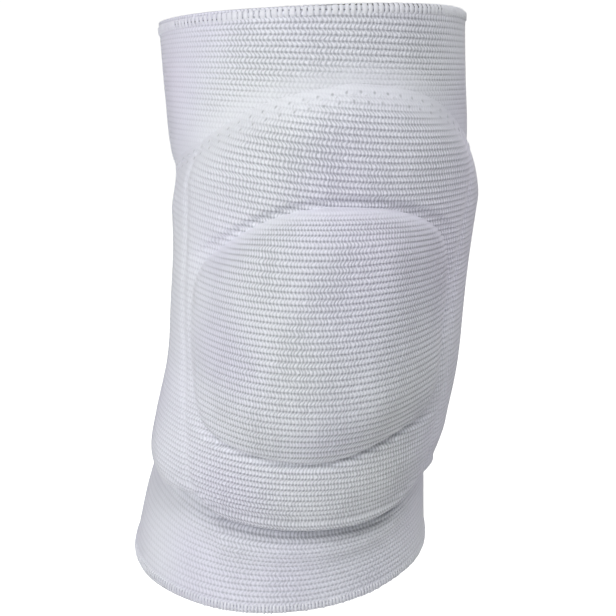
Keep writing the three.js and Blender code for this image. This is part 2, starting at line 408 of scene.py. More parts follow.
class CupSizes(bpy.types.PropertyGroup):
    height: length("Height of the knee cup", 0.078)
    rise: length("How far the cup stands above the shield", 0.0065)
    edge: length("Thickness of its sewn edge", 0.0008)
    tuck: length("How deep its edge sinks into the channel round it", 0.0006)
    top_bevel: length("Height over which its top edge rises", 0.014)
    bottom_bevel: length("Height over which its bottom edge rises", 0.019)
    side_bevel: number("Degrees over which its side edges rise", 42)
    rib_draw: length("How far its ribs are drawn up where it stands proud", 0.0024)
    top_arch: length("How far its top edge drops at the seams", 0.021)
    bottom_arch: length("How far its bottom edge rises at the seams", 0.014)
    left_arch: length("Extra drop of the top edge on the -X side", 0.0058)
    right_arch: length("Extra rise of the bottom edge on the +X side", 0.0037)
    roundness: share("1 makes both arcs half ovals", 0.97)
    crown: length("Extra foam in the middle of the cup", 0.002)
    crown_turn: number("Degrees that half of that crown covers", 38)
    crown_height: share("Share of the cup's height that half of it covers", 0.34)
    groove: length("Depth of the channel sewn round the cup", 0.0019)
    groove_fade: share("Share of that depth that is gone at the side seams", 0.88)
    groove_end: number("Degrees over which the channel ends beside the cup", 2)
    lower_slope: length("Height of the lip's slope into that channel", 0.0019)
    upper_slope: length("Height of the brow's slope into it", 0.0022)


class PaddingSizes(bpy.types.PropertyGroup):
    pressure: number("Pressure in the filled covers", 20)
    frames: whole("Frames that the filling takes", 20)
    quality: whole("Steps of the simulation on each frame", 6)
    swell: length("The most that a cover may move while it is filled", 0.0012)
    rows: whole("Points up a filled cover", 44)
    columns: whole("Points across a filled cover", 60)


class KnitSizes(bpy.types.PropertyGroup):
    rib_pitch: length("Height of one rib", 0.00215)
    rib_height: length("How far a rib stands out", 0.00022)
    side_relief: share("Share of its relief that the knit keeps at the sides", 0.3)
    cuff_relief: share("Share of its relief that the tube keeps at the shin", 0.7)
    relief_turn: number("Degrees towards +X of the knit's most open side", 12)
    relief_start: number("Degrees aside from there where the relief begins to fade", 25)
    relief_fade: number("Degrees over which it fades", 50)
    rib_rows: whole("Rows of faces on one rib", 4)
    sleeve_wale: length("Width of one stitch along the sleeve's ribs", 0.00148)
    shield_wale: length("Width of one stitch along the shield's ribs", 0.00115)
    cup_wale: length("Width of one stitch along the cup's ribs", 0.00102)
    stitch_depth: length("Relief of the single stitches", 0.00035)


class ThreadSizes(bpy.types.PropertyGroup):
    top_pitch: length("From one overlock thread to the next, at the thigh", 0.0021)
    top_width: length("Width of an overlock thread at the thigh", 0.0018)
    bottom_pitch: length("From one overlock thread to the next, at the shin", 0.0013)
    bottom_width: length("Width of an overlock thread at the shin", 0.0009)
    bottom_reach: length("How far the shin's threads reach above its hem", 0.0014)
    top_raggedness: share("How much shorter some of the thigh's loops are", 0.06)
    bottom_raggedness: share("How much shorter some of the shin's loops are", 0.2)
    thread: length("Thickness of an overlock thread", 0.00034)
    seam_pitch: length("From one seam stitch to the next", 0.0024)
    seam_stitch: length("Length of one seam stitch", 0.0021)
    seam_thread: length("Thickness of the seams' thread", 0.0004)


class Looks(bpy.types.PropertyGroup):
    yarn: colour("The knit's own colour", (0.875, 0.87, 0.96))
    # The gaps' colour is painted shade: it darkens the holes and partings between the stitches,
    # where shadow falls.
    gaps: colour("Colour between the stitches", (0.35, 0.35, 0.42))
    thread: colour("Colour of the sewing thread", (0.81, 0.81, 0.88))
    # The cores' shades are painted shade: they darken the folds where shadow falls between the
    # overlock threads.
    top_core: share("Shade of the fold under the thigh's threads", 0.2)
    bottom_core: share("Shade of the fold under the shin's threads", 0.8)
    floor: colour("Colour of the floor", (0.94, 0.94, 0.94))
    soft_light: number("Strength of the even light all round", 0.05)
    key_light: watts("Lamp at the left of the front", 10.8)
    left_light: watts("Lamp straight to the left", 1.3)
    top_light: watts("Lamp above the front", 12.6)
    right_light: watts("Lamp above the right side", 7.2)
    rear_light: watts("Lamp behind", 10)
    lamp_size: length("Width of a lamp", 0.7)
    lamp_distance: length("From the lamps to the pad", 1.7)
    camera_distance: length("From the camera to what it looks at", 1.0)
    camera_lens: number("Focal length in millimetres", 156.6)
    camera_rise: number("Degrees that the camera stands above the pad", 10)
    floor_drop: length("From the pad's lowest point down to the floor", 0.2)


def sleeve_sizes():
    return bpy.context.scene.knee_pad_sleeve


def shield_sizes():
    return bpy.context.scene.knee_pad_shield


def cup_sizes():
    return bpy.context.scene.knee_pad_cup


def padding_sizes():
    return bpy.context.scene.knee_pad_padding


def knit_sizes():
    return bpy.context.scene.knee_pad_knit


def thread_sizes():
    return bpy.context.scene.knee_pad_threads


def looks():
    return bpy.context.scene.knee_pad_looks


def blocks():
    """Each block of the pad from the bottom rim up: (its lowest height, how tall it is)."""
    sleeve, shield = sleeve_sizes(), shield_sizes()
    tall = {
        "cuff": sleeve.cuff_height,
        "lip": shield.lip_height,
        "cup": cup_sizes().height,
        "brow": shield.brow_height,
        "band": sleeve.band_height,
    }
    low, placed = 0.0, {}
    for name, height in tall.items():
        placed[name] = (low, height)
        low += height
    return placed


def at_block(name, part=0.0):
    low, tall = blocks()[name]
    return low + part * tall


def sleeve_height():
    return at_block("band", 1.0)


def curve_value(xs, ys, x):
    """A smooth curve through the points (xs, ys), at every x."""
    xs, ys = np.asarray(xs, float), np.asarray(ys, float)
    inner = (ys[2:] - ys[:-2]) / (xs[2:] - xs[:-2])
    ends = (ys[[1, -1]] - ys[[0, -2]]) / (xs[[1, -1]] - xs[[0, -2]])
    slopes = np.concatenate([ends[:1], inner, ends[1:]])
    i = np.clip(np.searchsorted(xs, x, side="right") - 1, 0, len(xs) - 2)
    span = xs[i + 1] - xs[i]
    t = (x - xs[i]) / span
    rise = ys[i + 1] - ys[i]
    start_bend = slopes[i] * span - rise
    end_bend = rise - slopes[i + 1] * span
    return ys[i] + rise * t + t * (1 - t) * (start_bend * (1 - t) + end_bend * t)


def table_value(table, column, height):
    """A smooth curve through one column of a table of blocks, at every height."""
    heights = [at_block(row[0], row[1]) for row in table]
    return curve_value(heights, [row[column] for row in table], height)


def smooth(part):
    part = np.clip(part, 0, 1)
    return part * part * (3 - 2 * part)


def blunt(wave, power=LIP_BLUNTNESS):
    """A sine or cosine whose circle is drawn out into its corners."""
    return np.sign(wave) * np.abs(wave) ** power


def unevenness(height, turn):
    """Long soft waves, so that no stretch of knit is quite even."""
    a, h = np.radians(turn), height / sleeve_height()
    waves = sum(wave * np.sin(around * a + up * h + start) for wave, around, up, start in WAVES)
    return sleeve_sizes().unevenness * waves / sum(row[0] for row in WAVES)


def skin_points(height, turn, lift):
    """Points on the knit, as an array whose last axis is x, y, z."""
    height, turn, lift = np.broadcast_arrays(
        np.asarray(height, float), np.asarray(turn, float), np.asarray(lift, float)
    )
    sizes = sleeve_sizes()
    lift = lift + unevenness(height, turn)
    across, ahead = np.sin(np.radians(turn)), np.cos(np.radians(turn))
    half_width = table_value(GIRTHS, 2, height) * sizes.leg_width / 2
    depth = np.where(
        ahead > 0, table_value(GIRTHS, 3, height), table_value(GIRTHS, 4, height)
    )
    half_depth = depth * sizes.leg_depth
    normal_x, normal_y = across / half_width, ahead / half_depth
    size = np.hypot(normal_x, normal_y)
    x = across * half_width + normal_x / size * lift
    y = -(ahead * half_depth + normal_y / size * lift)
    dip, roll = (np.radians(table_value(LEANS, column, height)) for column in (4, 5))
    fore, drop = y * np.cos(dip), y * np.sin(dip)
    aside = table_value(LEANS, 2, height) * sleeve_height()
    back = table_value(LEANS, 3, height) * sleeve_height()
    return np.stack(
        [
            x * np.cos(roll) - drop * np.sin(roll) + aside,
            fore + back,
            x * np.sin(roll) + drop * np.cos(roll) + height - at_block("cup", 0.5),
        ],
        axis=-1,
    )


def pad_to_leg(height, turn):
    """The turn round the leg of a point whose turn is counted from the pads' own middle."""
    return turn * table_value(PAD_TURNS, 3, height) + table_value(PAD_TURNS, 2, height)


def leg_to_pad(height, turn):
    """The pads' own turn of a point that is given by its turn round the leg."""
    own = (turn - table_value(PAD_TURNS, 2, height)) / table_value(PAD_TURNS, 3, height)
    return np.clip(own, -shield_sizes().wrap, shield_sizes().wrap)


def pad_points(height, turn, lift):
    return skin_points(height, pad_to_leg(height, turn), lift)


def seam_line(height, left):
    """The degrees from the pads' middle to a side seam: both run in towards the lip."""
    sizes = shield_sizes()
    start = at_block("cup", PULL_START)
    low = smooth((start - height) / (start - at_block("lip")))
    return sizes.seam_turn - low * np.where(left, sizes.left_pull, sizes.right_pull)


def seam_nearness(height, turn, width):
    """1 in a side seam, 0 away from it."""
    return np.exp(-(((np.abs(turn) - seam_line(height, turn < 0)) / width) ** 2))


def shield_top(turn):
    sizes = shield_sizes()
    shares, drops = zip(*SHIELD_TOP_EDGE)
    drop = curve_value(shares, drops, np.abs(turn) / sizes.wrap)
    return at_block("brow", 1.0) - sizes.arch * drop


def shield_bottom(turn):
    sizes = shield_sizes()
    low = at_block("lip")
    inside = np.abs(turn) < seam_line(low, turn < 0)
    end = np.where(turn < 0, sizes.left_lift_end, sizes.right_lift_end)
    spread = np.where(inside, end, sizes.lip_lift_spread)
    return low + sizes.lip_lift * seam_nearness(low, turn, spread)


def tube_lift(height, turn):
    """How far the tube stands out: the lip's seam draws it in, and it swells out below."""
    sizes = shield_sizes()
    own = leg_to_pad(height, turn)
    end = sizes.wrap - np.where(own < 0, sizes.left_channel_end, sizes.right_channel_end)
    reach = smooth((end - np.abs(own)) / sizes.channel_fade)
    above = height - shield_bottom(own)
    seam = (above + sizes.channel_drop) / sizes.lip_channel_width
    below = (above + sizes.cuff_swell_drop) / (SWELL_SPREAD * sizes.cuff_swell_drop)
    swell = sizes.cuff_swell * np.exp(-(below**2))
    return (swell - sizes.lip_channel * np.exp(-(seam**2))) * reach


def cup_turn():
    """Degrees from the cup's middle to its side edges."""
    sizes = shield_sizes()
    return sizes.seam_turn - CUP_INSET * sizes.seam_width


def arc_drop(turn):
    """An arc's share of its drop at this turn."""
    part = np.clip(turn / cup_turn(), -1, 1)
    return 1 - np.sqrt(1 - cup_sizes().roundness * part**2)


def cup_top(turn):
    part = np.clip(-turn / cup_turn(), 0, 1)
    extra = cup_sizes().left_arch * np.sin(LEFT_ARCH_END * np.pi * part**2)
    return at_block("cup", 1.0) - cup_sizes().top_arch * arc_drop(turn) - extra


def cup_bottom(turn):
    part = np.clip(turn / cup_turn(), 0, 1)
    extra = cup_sizes().right_arch * np.sin(np.pi * part**RIGHT_ARCH_SKEW)
    return at_block("cup") + cup_sizes().bottom_arch * arc_drop(turn) + extra


def cup_channel(height, turn):
    """How deep a point lies in the channel round the cup: 1 at the cup's edge and under it. The
    lip slopes gently down into it, and the brow drops into it at once."""
    sizes = cup_sizes()
    below = 1 - smooth((cup_bottom(turn) - height) / sizes.lower_slope)
    above = 1 - smooth((height - cup_top(turn)) / sizes.upper_slope)
    beside = 1 - smooth((np.abs(turn) - cup_turn()) / sizes.groove_end)
    shallow = 1 - sizes.groove_fade * np.clip(np.abs(turn) / cup_turn(), 0, 1) ** 4
    return below * above * beside * shallow


def quilt_line(turn):
    """The height of the stitched row under the shield's arched edge."""
    return shield_top(turn) - shield_sizes().quilt_inset


def quilt_channel(height, turn):
    """1 along the stitched row, 0 away from it."""
    return np.exp(-(((height - quilt_line(turn)) / shield_sizes().quilt_width) ** 2))


def quilt_path():
    """Turns along the zigzag row, and the count of half zigzags up to each."""
    sizes = shield_sizes()
    turns = np.linspace(-QUILT_REACH * sizes.wrap, QUILT_REACH * sizes.wrap, QUILT_POINTS)
    heights = quilt_line(turns)
    points = pad_points(heights, turns, shield_lift(heights, turns))
    steps = np.linalg.norm(np.diff(points, axis=0), axis=-1)
    along = np.concatenate([[0], np.cumsum(steps)])
    halves = round(2 * along[-1] / sizes.quilt_pitch)
    return turns, along / along[-1] * halves


def quilt_vectors(height, turn):
    """Where a point lies on the zigzag row: half zigzags along it, then its share of the row's
    half height above or below its middle."""
    turns, along = quilt_path()
    across = (height - quilt_line(turn)) / (shield_sizes().quilt_width / 2)
    beyond = np.where(np.abs(turn) < turns[-1], 0, OFF_THE_ROW)
    return np.stack([np.interp(turn, turns, along), across + beyond, 0 * turn], axis=-1)


def foam_share(height, turn):
    """How much of its thickness the foam has, without the roll of its lip: 0 to 1."""
    sizes = shield_sizes()
    longer = 1 + sizes.bevel_growth * smooth(np.abs(turn) / sizes.wrap)
    upper = smooth((shield_top(turn) - height) / (sizes.bevel * longer))
    side = smooth((sizes.wrap - np.abs(turn)) / sizes.side_bevel)
    return upper * side


def shield_lift(height, turn):
    """The front of the shield above the knit, without the roll of its lip."""
    sizes = shield_sizes()
    in_lip = np.clip((height - at_block("lip")) / sizes.lip_height, 0, 1)
    reach = smooth((sizes.wrap - np.abs(turn)) / sizes.wrap)
    swell = sizes.lip_swell * np.sin(np.pi * in_lip) * reach
    to_right = smooth((turn - sizes.thinning_turn) / sizes.thinning_fade)
    thinning = sizes.lip_thinning + sizes.right_thinning * to_right
    full = (sizes.thickness - sizes.edge) * (1 - thinning * (1 - in_lip) ** LIP_TAPER)
    foam = (full + swell) * foam_share(height, turn)
    upper = smooth((shield_top(turn) - height) / sizes.blend)
    sewn = upper * smooth((sizes.wrap - np.abs(turn)) / sizes.side_rise)
    base = -sizes.tuck + (sleeve_sizes().gap + sizes.edge + sizes.tuck) * sewn
    seam = seam_nearness(height, turn, sizes.seam_width) * np.minimum(foam, sizes.seam_depth)
    channel = cup_sizes().groove * cup_channel(height, turn)
    row = sizes.quilt_depth * quilt_channel(height, turn) * upper
    return base + foam - seam - channel - row


def shield_surface(cloth, turn):
    """The height and lift of the shield's front, from the height of the knit that covers it.
    Near the bottom the knit turns round the foam and tucks in under it."""
    sizes = shield_sizes()
    bottom = shield_bottom(turn)
    start = bottom + sizes.lip_roll
    height = np.maximum(cloth, start)
    full = shield_lift(height, turn)
    round_lip = np.clip((start - cloth) / sizes.lip_cloth, 0, 1)
    angle = np.radians(sizes.lip_tuck) * round_lip
    end = blunt(math.cos(math.radians(sizes.lip_tuck)))
    tucked = -sizes.tuck
    lift = tucked + (full - tucked) * (blunt(np.cos(angle)) - end) / (1 - end)
    plump = smooth(foam_share(start, turn))
    hang = (sizes.lip_roll - sizes.lip_rise) * blunt(np.sin(angle))
    plain = sizes.lip_roll * round_lip
    return height - (plump * hang + (1 - plump) * plain), lift


def shield_cloth_bottom(turn):
    sizes = shield_sizes()
    return shield_bottom(turn) + sizes.lip_roll - sizes.lip_cloth


def cup_share(height, turn):
    """How much of its rise the cup has: 0 at its edge, 1 in its middle."""
    sizes = cup_sizes()
    upper = smooth((cup_top(turn) - height) / sizes.top_bevel)
    lower = np.sin(np.pi / 2 * np.clip((height - cup_bottom(turn)) / sizes.bottom_bevel, 0, 1))
    sides = smooth((cup_turn() - np.abs(turn)) / sizes.side_bevel)
    return upper * lower * sides


def cup_lift(height, turn):
    """The front of the cup above the knit of the sleeve."""
    sizes = cup_sizes()
    round_edge = cup_share(height, turn)
    middle = (height - at_block("cup", 0.5)) / sizes.height
    off_crown = (turn / sizes.crown_turn) ** 2 + (middle / sizes.crown_height) ** 2
    crown = sizes.crown * np.exp(-off_crown)
    sewn = smooth(round_edge / CUP_HEM)
    base = (sizes.edge + sizes.tuck) * sewn - sizes.tuck
    full = sizes.rise + sizes.groove + crown
    return shield_lift(height, turn) + base + full * round_edge


def rib_shift(table, height, turn):
    """How far a rib hangs below the level at which it crosses the sides of the leg."""
    angle = np.radians(turn)
    drop = table_value(table, 3, height) * np.sin(angle)
    hang = table_value(table, 4, height) * np.cos(angle)
    return sleeve_sizes().leg_depth * (drop + hang)


def rib_ladder(table):
    """Heights from below the pad to above it, and the count of ribs up to each."""
    heights = np.linspace(-LADDER_MARGIN, sleeve_height() + LADDER_MARGIN, LADDER_STEPS)
    shares = table_value(table, 2, np.clip(heights, 0, sleeve_height()))
    steps = np.diff(heights) / (knit_sizes().rib_pitch * (shares[1:] + shares[:-1]) / 2)
    return heights, np.concatenate([[0], np.cumsum(steps)])


def rib_count(table, height, turn):
    """The count of ribs up to a point. It is a whole number in the groove between two ribs."""
    heights, counts = rib_ladder(table)
    return np.interp(height + rib_shift(table, height, turn), heights, counts)


def height_of_rib(table, count, turn):
    """The height at which a count of ribs is reached."""
    heights, counts = rib_ladder(table)
    level = np.interp(count, counts, heights)
    height = level
    for _ in range(LADDER_ROUNDS):
        height = level - rib_shift(table, height, turn)
    return height


def knit_relief(leg_turn):
    """How open and proud the knit is: it is drawn finer at the sides of the leg."""
    sizes = knit_sizes()
    aside = np.degrees(np.arcsin(np.abs(np.sin(np.radians(leg_turn - sizes.relief_turn)))))
    return 1 - (1 - sizes.side_relief) * smooth((aside - sizes.relief_start) / sizes.relief_fade)


def knit_vectors(count, leg_turn, inside, wale):
    """The stitch coordinates of a point: stitches round the leg, ribs up it, 1 inside it."""
    girth = math.pi * (sleeve_sizes().leg_width + sleeve_sizes().leg_depth) / 2
    wales = round(girth / wale)
    return np.stack(np.broadcast_arrays(leg_turn / 360 * wales, count, inside), axis=-1)


def quads(rows, columns, wrap_rows, wrap_columns):
    """The faces of a grid of points, each wound so that rows then columns turn outwards."""
    r = np.arange(rows if wrap_rows else rows - 1)[:, None]
    c = np.arange(columns if wrap_columns else columns - 1)[None, :]
    up, on = (r + 1) % rows, (c + 1) % columns
    corners = [r * columns + c, r * columns + on, up * columns + on, up * columns + c]
    return np.stack(np.broadcast_arrays(*corners), axis=-1).reshape(-1, 4)


def add_attribute(mesh, name, kind, values, domain="POINT"):
    attribute = mesh.attributes.new(name, kind, domain)
    field = "vector" if kind == "FLOAT_VECTOR" else "value"
    attribute.data.foreach_set(field, np.ravel(values).astype(np.float32))


def make_object(name, points, faces, knit=None, relief=None, quilt=None):
    """A mesh object in the main collection, with its stitch coordinates as attributes."""
    mesh = bpy.data.meshes.new(name)
    mesh.from_pydata(np.reshape(points, (-1, 3)).tolist(), [], [list(f) for f in faces])
    if knit is not None:
        corners = np.zeros(len(mesh.loops), np.int32)
        mesh.loops.foreach_get("vertex_index", corners)
        values = np.reshape(knit, (-1, 3))[corners]
        add_attribute(mesh, "knit", "FLOAT_VECTOR", values, "CORNER")
        add_attribute(mesh, "relief", "FLOAT", relief)
    if quilt is not None:
        add_attribute(mesh, "quilt", "FLOAT_VECTOR", quilt)
    mesh.validate()
    made = bpy.data.objects.new(name, mesh)
    bpy.context.scene.collection.objects.link(made)
    return made


def clean_mesh(made):
    """Merges points that lie on each other and turns every face outwards."""
    work = bmesh.new()
    work.from_mesh(made.data)
    bmesh.ops.remove_doubles(work, verts=work.verts, dist=MERGE_DISTANCE)
    bmesh.ops.dissolve_degenerate(work, edges=work.edges, dist=THINNEST_EDGE)
    bmesh.ops.recalc_face_normals(work, faces=work.faces)
    work.to_mesh(made.data)
    work.free()


def shade_smooth(mesh):
    mesh.polygons.foreach_set("use_smooth", np.ones(len(mesh.polygons), bool))
    mesh.update()


def finish_piece(made, replaced=()):
    if not made.data.polygons:
        raise RuntimeError(f"{made.name} has no faces")
    shade_smooth(made.data)
    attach(made, "root")
    if replaced:
        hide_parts(*replaced)


class TreeMaker:
    """Short ways to add nodes to a shader or geometry tree and link them."""

    def __init__(self, tree):
        self.tree = tree

    def put(self, socket, value):
        if isinstance(value, bpy.types.NodeSocket):
            self.tree.links.new(value, socket)
        elif value is not None:
            socket.default_value = value

    def node(self, kind, inputs=None, **settings):
        made = self.tree.nodes.new(kind)
        for name, value in settings.items():
            setattr(made, name, value)
        for name, value in (inputs or {}).items():
            self.put(made.inputs[name], value)
        return made

    def math(self, operation, a, b=None, clamp=False):
        made = self.node("ShaderNodeMath", operation=operation, use_clamp=clamp)
        for socket, value in zip(made.inputs, (a, b)):
            self.put(socket, value)
        return made.outputs[0]

    def scaled(self, value, factor, start=0):
        """start + factor * value"""
        product = self.math("MULTIPLY", value, factor)
        return self.math("ADD", start, product) if start else product

    def noise(self, place, scale, detail=1.0):
        made = self.node("ShaderNodeTexNoise", {"Vector": place, "Scale": scale, "Detail": detail})
        return made.outputs["Fac"]

    def ramp(self, value, low, high, start=0.0, end=1.0, kind="SMOOTHSTEP"):
        """start below low, end above high, and a slope between."""
        limits = {"From Min": low, "From Max": high, "To Min": start, "To Max": end}
        made = self.node("ShaderNodeMapRange", {"Value": value, **limits}, interpolation_type=kind)
        return made.outputs[0]

    def named(self, name, kind="FLOAT_VECTOR"):
        """An attribute of the mesh that a geometry tree works on."""
        made = self.node("GeometryNodeInputNamedAttribute", {"Name": name}, data_type=kind)
        return made.outputs["Attribute"]

    def mix(self, share, low, high):
        """A colour between low and high."""
        made = self.node("ShaderNodeMix", {"Factor": share, 6: low, 7: high}, data_type="RGBA")
        return made.outputs[2]


def new_group(name, kind, inputs, outputs):
    """A node group. Sockets are given as (name, kind, default). Gives its maker and its inputs."""
    tree = bpy.data.node_groups.new(name, kind)
    for in_out, sockets in (("INPUT", inputs), ("OUTPUT", outputs)):
        for title, socket_kind, default in sockets:
            socket_type = "NodeSocket" + socket_kind
            socket = tree.interface.new_socket(title, in_out=in_out, socket_type=socket_type)
            if default is not None:
                socket.default_value = default
    make = TreeMaker(tree)
    return make, make.node("NodeGroupInput").outputs


def shader_group(name, inputs, outputs):
    return new_group(name, "ShaderNodeTree", inputs, outputs)


def geometry_group(name, inputs):
    geometry, material = ("Geometry", "Geometry", None), ("Material", "Material", None)
    return new_group(name, "GeometryNodeTree", [geometry, *inputs, material], [geometry])


def end_group(make, **results):
    """Links the results to the group's outputs of the same names."""
    out = make.node("NodeGroupOutput")
    for name, result in results.items():
        make.put(out.inputs[name], result)
    return make.tree


def end_geometry(make, geometry, material):
    """Makes instances real and dresses them, as the group's result."""
    real = make.node("GeometryNodeRealizeInstances", {"Geometry": geometry})
    dressed = make.node(
        "GeometryNodeSetMaterial", {"Geometry": real.outputs[0], "Material": material}
    )
    return end_group(make, Geometry=dressed.outputs[0])


def rib_tree():
    """Raises the ribs out of a smooth surface, along its normals."""
    inputs = [("Rib Height", "Float", 0.00022), ("Rib Roundness", "Float", 0.6)]
    make, given = geometry_group("Knit ribs", inputs)
    ribs = make.node("ShaderNodeSeparateXYZ", {"Vector": make.named("knit")}).outputs["Y"]
    wave = make.math("ABSOLUTE", make.math("SINE", make.math("MULTIPLY", ribs, math.pi)))
    profile = make.math("POWER", wave, given["Rib Roundness"])
    height = make.math("MULTIPLY", profile, given["Rib Height"])
    height = make.math("MULTIPLY", height, make.named("relief", "FLOAT"))
    normal = make.node("GeometryNodeInputNormal").outputs["Normal"]
    offset = make.node("ShaderNodeVectorMath", {0: normal, "Scale": height}, operation="SCALE")
    moved = make.node(
        "GeometryNodeSetPosition", {"Geometry": given["Geometry"], "Offset": offset.outputs[0]}
    )
    return end_geometry(make, moved.outputs[0], given["Material"])


def path_points(make, geometry, mode, spacing):
    """Points along a path, and the path's direction at each."""
    path = make.node("GeometryNodeMeshToCurve", {"Mesh": geometry})
    points = make.node(
        "GeometryNodeResampleCurve", {"Curve": path.outputs[0], **spacing}, mode=mode
    )
    return points.outputs[0], make.node("GeometryNodeInputTangent").outputs[0]


def facing(make, primary, primary_axis, secondary, secondary_axis):
    turned = make.node(
        "FunctionNodeAxesToRotation",
        {"Primary Axis": primary, "Secondary Axis": secondary},
        primary_axis=primary_axis,
        secondary_axis=secondary_axis,
    )
    return turned.outputs[0]


def lay(make, points, instance, rotation, size):
    """One instance on each point. size gives its stretch along X, Y and Z."""
    scale = make.node("ShaderNodeCombineXYZ", dict(zip("XYZ", size)))
    laid = make.node(
        "GeometryNodeInstanceOnPoints",
        {
            "Points": points,
            "Instance": instance,
            "Rotation": rotation,
            "Scale": scale.outputs[0],
        },
    )
    return laid.outputs[0]


def stitch_tree():
    """Lays short stitches along a path, leaning to one side and the other by turns."""
    inputs = [
        ("Stitches", "Int", 100),
        ("Stitch Length", "Float", 0.002),
        ("Thread", "Float", 0.0005),
        ("Lean", "Float", 0.0),
    ]
    make, given = geometry_group("Stitches along a path", inputs)
    spacing = {"Count": make.math("ADD", given["Stitches"], 1)}
    points, along = path_points(make, given["Geometry"], "COUNT", spacing)
    outwards = facing(make, make.named("outwards"), "Z", along, "X")
    index = make.node("GeometryNodeInputIndex").outputs[0]
    side = make.math("SUBTRACT", make.scaled(make.math("MODULO", index, 2), 2), 1)
    lean = make.node("ShaderNodeCombineXYZ", {"Z": make.math("MULTIPLY", side, given["Lean"])})
    leaning = make.node("FunctionNodeEulerToRotation", {"Euler": lean.outputs[0]})
    turned = make.node(
        "FunctionNodeRotateRotation",
        {"Rotation": outwards, "Rotate By": leaning.outputs[0]},
        rotation_space="LOCAL",
    )
    ball = make.node("GeometryNodeMeshUVSphere", {"Segments": 6, "Rings": 5, "Radius": 0.5})
    size = (given["Stitch Length"], given["Thread"], given["Thread"])
    laid = lay(make, points, ball.outputs[0], turned.outputs[0], size)
    return end_geometry(make, laid, given["Material"])


def rounded_frame(make, width, height, radius):
    """A closed curve: an upright oblong whose corners are cut."""
    oblong = make.node(
        "GeometryNodeCurvePrimitiveQuadrilateral", {"Width": width, "Height": height}
    )
    rounded = make.node(
        "GeometryNodeFilletCurve",
        {"Curve": oblong.outputs[0], "Radius": radius, "Count": 1},
        mode="POLY",
    )
    return rounded.outputs[0]


def overlock_tree():
    """Wraps flat loops of thread round a rim, each a little wider or shorter by chance."""
    inputs = [
        ("Pitch", "Float", 0.0026),
        ("Loop Height", "Float", 0.0046),
        ("Loop Depth", "Float", 0.0032),
        ("Thread", "Float", 0.0005),
        ("Thread Width", "Float", 0.002),
        ("Raggedness", "Float", 0.1),
    ]
    make, given = geometry_group("Overlock loops", inputs)
    spacing = {"Length": given["Pitch"]}
    points, along = path_points(make, given["Geometry"], "LENGTH", spacing)
    upwards = facing(make, along, "Z", make.named("upwards"), "Y")
    depth, thread = given["Loop Depth"], given["Thread"]
    loop = rounded_frame(make, depth, given["Loop Height"], make.scaled(depth, LOOP_CORNER))
    ribbon = rounded_frame(
        make, thread, given["Thread Width"], make.scaled(thread, RIBBON_CORNER)
    )
    tube = make.node("GeometryNodeCurveToMesh", {"Curve": loop, "Profile Curve": ribbon})
    chances = [
        make.node("FunctionNodeRandomValue", {"Seed": seed}, data_type="FLOAT").outputs[1]
        for seed in (WIDTH_SEED, HEIGHT_SEED)
    ]
    wider = make.scaled(chances[0], WIDTH_SPREAD, NARROWEST)
    width = make.math("MULTIPLY", make.named("spread", "FLOAT"), wider)
    ragged = make.math("MULTIPLY", chances[1], given["Raggedness"])
    size = (1.0, make.math("SUBTRACT", 1, ragged), width)
    laid = lay(make, points, tube.outputs[0], upwards, size)
    return end_geometry(make, laid, given["Material"])


def built_once(collection, name, build):
    return collection.get(name) or build()


def apply_tree(made, name, build, values):
    """Runs a geometry tree on an object and keeps its result as the object's plain mesh."""
    tree = built_once(bpy.data.node_groups, name, build)
    modifier = made.modifiers.new(name, "NODES")
    modifier.node_group = tree
    sockets = {item.name: item.identifier for item in tree.interface.items_tree}
    for title, value in values.items():
        modifier[sockets[title]] = value
    graph = bpy.context.evaluated_depsgraph_get()
    shown = made.evaluated_get(graph)
    mesh = bpy.data.meshes.new_from_object(shown, preserve_all_data_layers=True, depsgraph=graph)
    made.modifiers.remove(modifier)
    mesh.name = made.name
    made.data = mesh


def raise_ribs(made, material):
    values = {"Rib Height": knit_sizes().rib_height, "Material": material}
    apply_tree(made, "Knit ribs", rib_tree, values)


